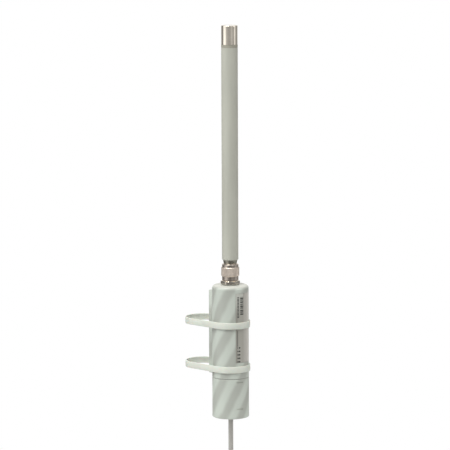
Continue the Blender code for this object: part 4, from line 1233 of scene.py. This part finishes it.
def build_strap():
    """A strap round the hank's waist, with its free end lapped over the front."""
    low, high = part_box("lead_band")
    middle = (low + high) / 2
    width = high.z - low.z
    half_x = (high.x - low.x) / 2 - STRAP_T
    half_y = (high.y - low.y) / 2 - STRAP_T
    path = []
    for quarter, (way_x, way_y) in enumerate(((1, 1), (-1, 1), (-1, -1), (1, -1))):
        spot = Vector((way_x * (half_x - STRAP_CORNER_R), way_y * (half_y - STRAP_CORNER_R), 0))
        for index in range(STRAP_CORNER_STEPS + 1):
            angle = pi / 2 * (quarter + index / STRAP_CORNER_STEPS)
            way = Vector((cos(angle), sin(angle), 0))
            path.append((middle + spot + way * STRAP_CORNER_R, way))
    loop = sweep("strap_loop", path, [strap_section(width, STRAP_T, STRAP_EDGE)])
    front = Vector((0, -1, 0))
    flap_path = [(Vector((middle.x + half_x * share, low.y, middle.z)), front) for share in FLAP_SPAN]
    flap_section = strap_section(width * FLAP_WIDTH, FLAP_T, FLAP_EDGE)
    flap = sweep("strap_flap", flap_path, [flap_section], closed=False)
    return dress(joined("hank_strap", [loop, flap]), "hook_and_loop", "radio_unit", "lead_band")


# Modular plugs
PLUG_W = 11.7 * MM
PLUG_H = 8.0 * MM
PLUG_L = 21.5 * MM
PLUG_EDGE = 0.4 * MM
PLUG_REAR_EDGE = 0.5 * MM
PLUG_REAR_SIDE = 0.3 * MM
PLUG_REAR_DROP = 0.4 * MM
PLUG_REAR_LAP = 0.2 * MM
BLADE_T = 0.36 * MM
BLADE_H = 2.24 * MM
BLADE_L = 6.0 * MM
BLADE_PROUD = 0.04 * MM
BLADE_INSET = 1.2 * MM
BLADE_EDGE = 0.06 * MM
WIRE_R = 0.45 * MM
WIRE_SEGMENTS = 12
WIRE_L = PLUG_L - 5.0 * MM
WIRE_DEPTH = 3.4 * MM
WIRE_SHIFT = 0.5 * MM
WIRE_COLOURS = ((232, 150, 60), (226, 226, 220), (60, 140, 80), (60, 90, 170))
WIRE_LOOK = (0.45, 900.0, 0.02, 0.05)
LATCH_TILT = radians(10)
LATCH_T = 1.0 * MM
LATCH_EDGE = 0.2 * MM
LATCH_ROOT_W = 6.0 * MM
LATCH_ROOT_L = 6.0 * MM
LATCH_STEM_W = 3.4 * MM
LATCH_LAP = 0.2 * MM
LATCH_L = 14.0 * MM
LATCH_INSET = 1.5 * MM


def plug_frame(node, nose_up):
    """Frame at the middle of a plug, with +Z to its nose and -Y to its latch."""
    low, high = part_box(node)
    spot = Matrix.Translation((low + high) / 2)
    return spot if nose_up else spot @ Matrix.Rotation(pi, 4, "Y")


def build_plug(prefix, nose_up):
    """Clear shell with gold contacts and coloured wires, and its latch. Returns the pieces on the plug."""
    node = f"{prefix}_plug"
    place = plug_frame(node, nose_up)
    half_w = PLUG_W / 2
    half_h = PLUG_H / 2
    half_l = PLUG_L / 2
    rear_w = half_w - PLUG_REAR_SIDE
    shell = joined(f"{prefix}_plug_shell", [
        block("front", (-half_w, -half_h, 0), (half_w, half_h, half_l), PLUG_EDGE, place),
        block("rear", (-rear_w, PLUG_REAR_DROP - half_h, -half_l), (rear_w, half_h, PLUG_REAR_LAP),
              PLUG_REAR_EDGE, place),
    ])
    blades = []
    wires = [[] for _ in WIRE_COLOURS]
    for index, x in enumerate(CONTACT_XS):
        spot = (x, half_h + BLADE_PROUD - BLADE_H / 2, half_l - BLADE_INSET - BLADE_L / 2)
        blades.append(centred("blade", spot, (BLADE_T, BLADE_H, BLADE_L), BLADE_EDGE, place))
        spot = Matrix.Translation((x, half_h - WIRE_DEPTH, WIRE_SHIFT))
        wires[index % len(wires)].append(rod("wire", WIRE_R, WIRE_L, WIRE_SEGMENTS, place @ spot))
    pieces = [
        dress(shell, "clear_plastic", "radio_unit", node),
        dress(joined(f"{prefix}_contacts", blades), "contact_gold", "radio_unit"),
    ]
    for index, (colour, group) in enumerate(zip(WIRE_COLOURS, wires)):
        finish = f"{prefix}_wire_colour_{index}"
        FINISHES[finish] = grained(finish, colour, *WIRE_LOOK)
        strands = joined(f"{prefix}_wires_{index}", group)
        pieces.append(dress(strands, "lead_jacket", "radio_unit", finish=finish))
    pieces.append(build_latch(prefix, place))
    return pieces


def build_latch(prefix, place):
    """Tongue that narrows below its two catches, and leans away from the plug."""
    hinge = Vector((0, -PLUG_H / 2 - FIT - LATCH_T / 2, PLUG_L / 2 - LATCH_INSET))
    lean = place @ Matrix.Translation(hinge) @ Matrix.Rotation(-LATCH_TILT, 4, "X")
    stem_top = LATCH_LAP - LATCH_ROOT_L
    stem_l = LATCH_L + stem_top
    tongue = joined(f"{prefix}_latch_tongue", [
        centred("root", (0, 0, -LATCH_ROOT_L / 2), (LATCH_ROOT_W, LATCH_T, LATCH_ROOT_L), LATCH_EDGE, lean),
        centred("stem", (0, 0, stem_top - stem_l / 2), (LATCH_STEM_W, LATCH_T, stem_l), LATCH_EDGE, lean),
    ])
    return dress(tongue, "clear_plastic", f"{prefix}_latch", f"{prefix}_latch")


# Stage
FLOOR_DROP = 15.0 * MM
FLOOR_R = 0.7
FLOOR_FADE = (0.3 * FLOOR_R, 0.95 * FLOOR_R)
FLOOR_GREY = (0.85, 0.85, 0.85)
LAMP_TARGET_Z = 50.0 * MM
# Lamps: name, degrees from the camera across and up, distance, size, power and colour
LAMPS = (
    ("key", -35, 62, 2.2, 0.9, 26.0, (0.97, 1.0, 0.97)),
    ("side", 70, 25, 2.5, 1.2, 8.2, (1.0, 0.96, 0.92)),
)
# Brightness of the studio round the unit, by degrees from the camera towards the picture's right,
# at eye level and below it
STUDIO = (
    (-180, 1.0), (-158, 0.8), (-140, 0.25), (-118, 0.2), (-98, 0.5), (-84, 1.5), (-60, 1.5), (-44, 0.6),
    (-12, 0.48), (16, 0.5), (31, 0.72), (44, 0.58), (58, 0.33), (69, 0.83), (79, 1.15), (92, 0.52),
    (114, 0.36), (134, 0.25), (158, 0.8),
)
STUDIO_LOW = (
    (-180, 1.0), (-158, 0.7), (-140, 0.2), (-100, 0.2), (-89, 0.27), (-70, 0.5), (-55, 0.58), (-40, 0.48),
    (-26, 0.24), (-12, 0.14), (4, 0.11), (20, 0.2), (59, 0.2), (76, 0.3), (94, 0.4), (112, 0.3), (134, 0.2),
    (158, 0.7),
)
# Heights of a way of unit length between which the light changes to that at eye level and to that above
EYE_LEVEL = (-0.15, -0.09)
OVERHEAD = (0.25, 0.9)
OVERHEAD_LEVEL = 2.0
BACKDROP = (142 / 360, 164 / 360)


def aim(item, place, target):
    item.location = place
    item.rotation_euler = (target - place).to_track_quat("-Z", "Y").to_euler()


def way_at(azimuth, elevation):
    return Vector((sin(azimuth) * cos(elevation), -cos(azimuth) * cos(elevation), sin(elevation)))


def build_camera():
    data = bpy.data.cameras.new("camera")
    data.lens = PHOTO_LENS
    data.clip_end = PHOTO_CLIP
    camera = add_object("camera", data)
    right = Vector((cos(PHOTO_AZIMUTH), sin(PHOTO_AZIMUTH), 0))
    target = Vector((0, AXIS_Y, PHOTO_TARGET_Z)) - right * PHOTO_TARGET_LEFT
    aim(camera, target + way_at(PHOTO_AZIMUTH, PHOTO_ELEVATION) * PHOTO_DISTANCE, target)
    camera.rotation_euler.rotate_axis("Z", PHOTO_ROLL)
    bpy.context.scene.camera = camera


def build_floor():
    """A pale floor that fades out before the photograph's view reaches it, and isn't seen from below."""
    shape = bmesh.new()
    spot = Matrix.Translation((0, AXIS_Y, CAD_BOX[0][2] - FLOOR_DROP))
    bmesh.ops.create_circle(shape, cap_ends=True, segments=ROUND_STEPS, radius=FLOOR_R, matrix=spot)
    item = finish_mesh("floor", shape)
    finish = Finish("floor_pale", FLOOR_GREY, 0.9)
    fade = finish.span(finish.around()[1], *FLOOR_FADE, 1.0, 0.0, "LINEAR")
    under = finish.node("NewGeometry").outputs["Backfacing"]
    finish.set("Alpha", finish.math("MULTIPLY", fade, finish.math("SUBTRACT", 1.0, under)))
    item.data.materials.append(finish.material)


def build_world():
    """Soft studio light in upright bands, and white behind the object."""
    world = bpy.data.worlds.new("studio")
    world.use_nodes = True
    world.node_tree.nodes.clear()
    sky = Nodes(world.node_tree)
    apart = sky.node("SeparateXYZ", {0: sky.node("TexCoord").outputs["Generated"]}).outputs
    angle = sky.math("ARCTAN2", apart["X"], sky.math("MULTIPLY", apart["Y"], -1.0))
    turn = sky.math("MULTIPLY", sky.math("SUBTRACT", angle, PHOTO_AZIMUTH), 1 / (2 * pi))
    share = sky.math("FRACT", sky.math("ADD", turn, 0.5))
    low, level = [sky.ramp(share, [(degrees / 360 + 0.5, (value, value, value)) for degrees, value in bands])
                  for bands in (STUDIO_LOW, STUDIO)]
    colour = sky.mix(sky.span(apart["Z"], *EYE_LEVEL), low, level)
    strength = sky.span(apart["Z"], *OVERHEAD, 1.0, OVERHEAD_LEVEL)
    studio = sky.node("Background", {"Color": colour, "Strength": strength})
    white = sky.node("Background", {"Color": (1, 1, 1, 1), "Strength": 1.0})
    path = sky.node("LightPath").outputs
    behind = sky.math("ABSOLUTE", sky.math("SUBTRACT", share, 0.5))
    mirrored = sky.math("MULTIPLY", path["Is Glossy Ray"], sky.span(behind, *BACKDROP, way="LINEAR"))
    seen = sky.math("MAXIMUM", path["Is Camera Ray"], path["Is Transmission Ray"])
    seen = sky.math("MAXIMUM", seen, mirrored)
    mix = sky.node("MixShader", {0: seen, 1: studio.outputs[0], 2: white.outputs[0]})
    sky.node("OutputWorld", {"Surface": mix.outputs[0]})
    bpy.context.scene.world = world


def build_lamp(name, azimuth, elevation, distance, size, power, colour):
    """A soft lamp, aimed at the unit."""
    data = bpy.data.lights.new(name, "AREA")
    data.shape = "DISK"
    data.size = size
    data.energy = power
    data.color = colour
    target = Vector((0, AXIS_Y, LAMP_TARGET_Z))
    way = way_at(PHOTO_AZIMUTH + radians(azimuth), radians(elevation))
    aim(add_object(name, data), target + way * distance, target)


def main():
    build_camera()
    cord = build_lead()
    build_radome()
    build_cap()
    build_neck()
    build_nut()
    build_jack()
    build_housing()
    build_cover()
    build_label()
    for node in ("upper_tie", "lower_tie"):
        build_tie(node)
    build_board_parts()
    build_jack_springs()
    strap = build_strap()
    build_plug("inner", True)
    pieces = build_plug("far", False)
    build_floor()
    build_world()
    for lamp in LAMPS:
        build_lamp(*lamp)
    bpy.context.scene.view_settings.view_transform = "Standard"


main()
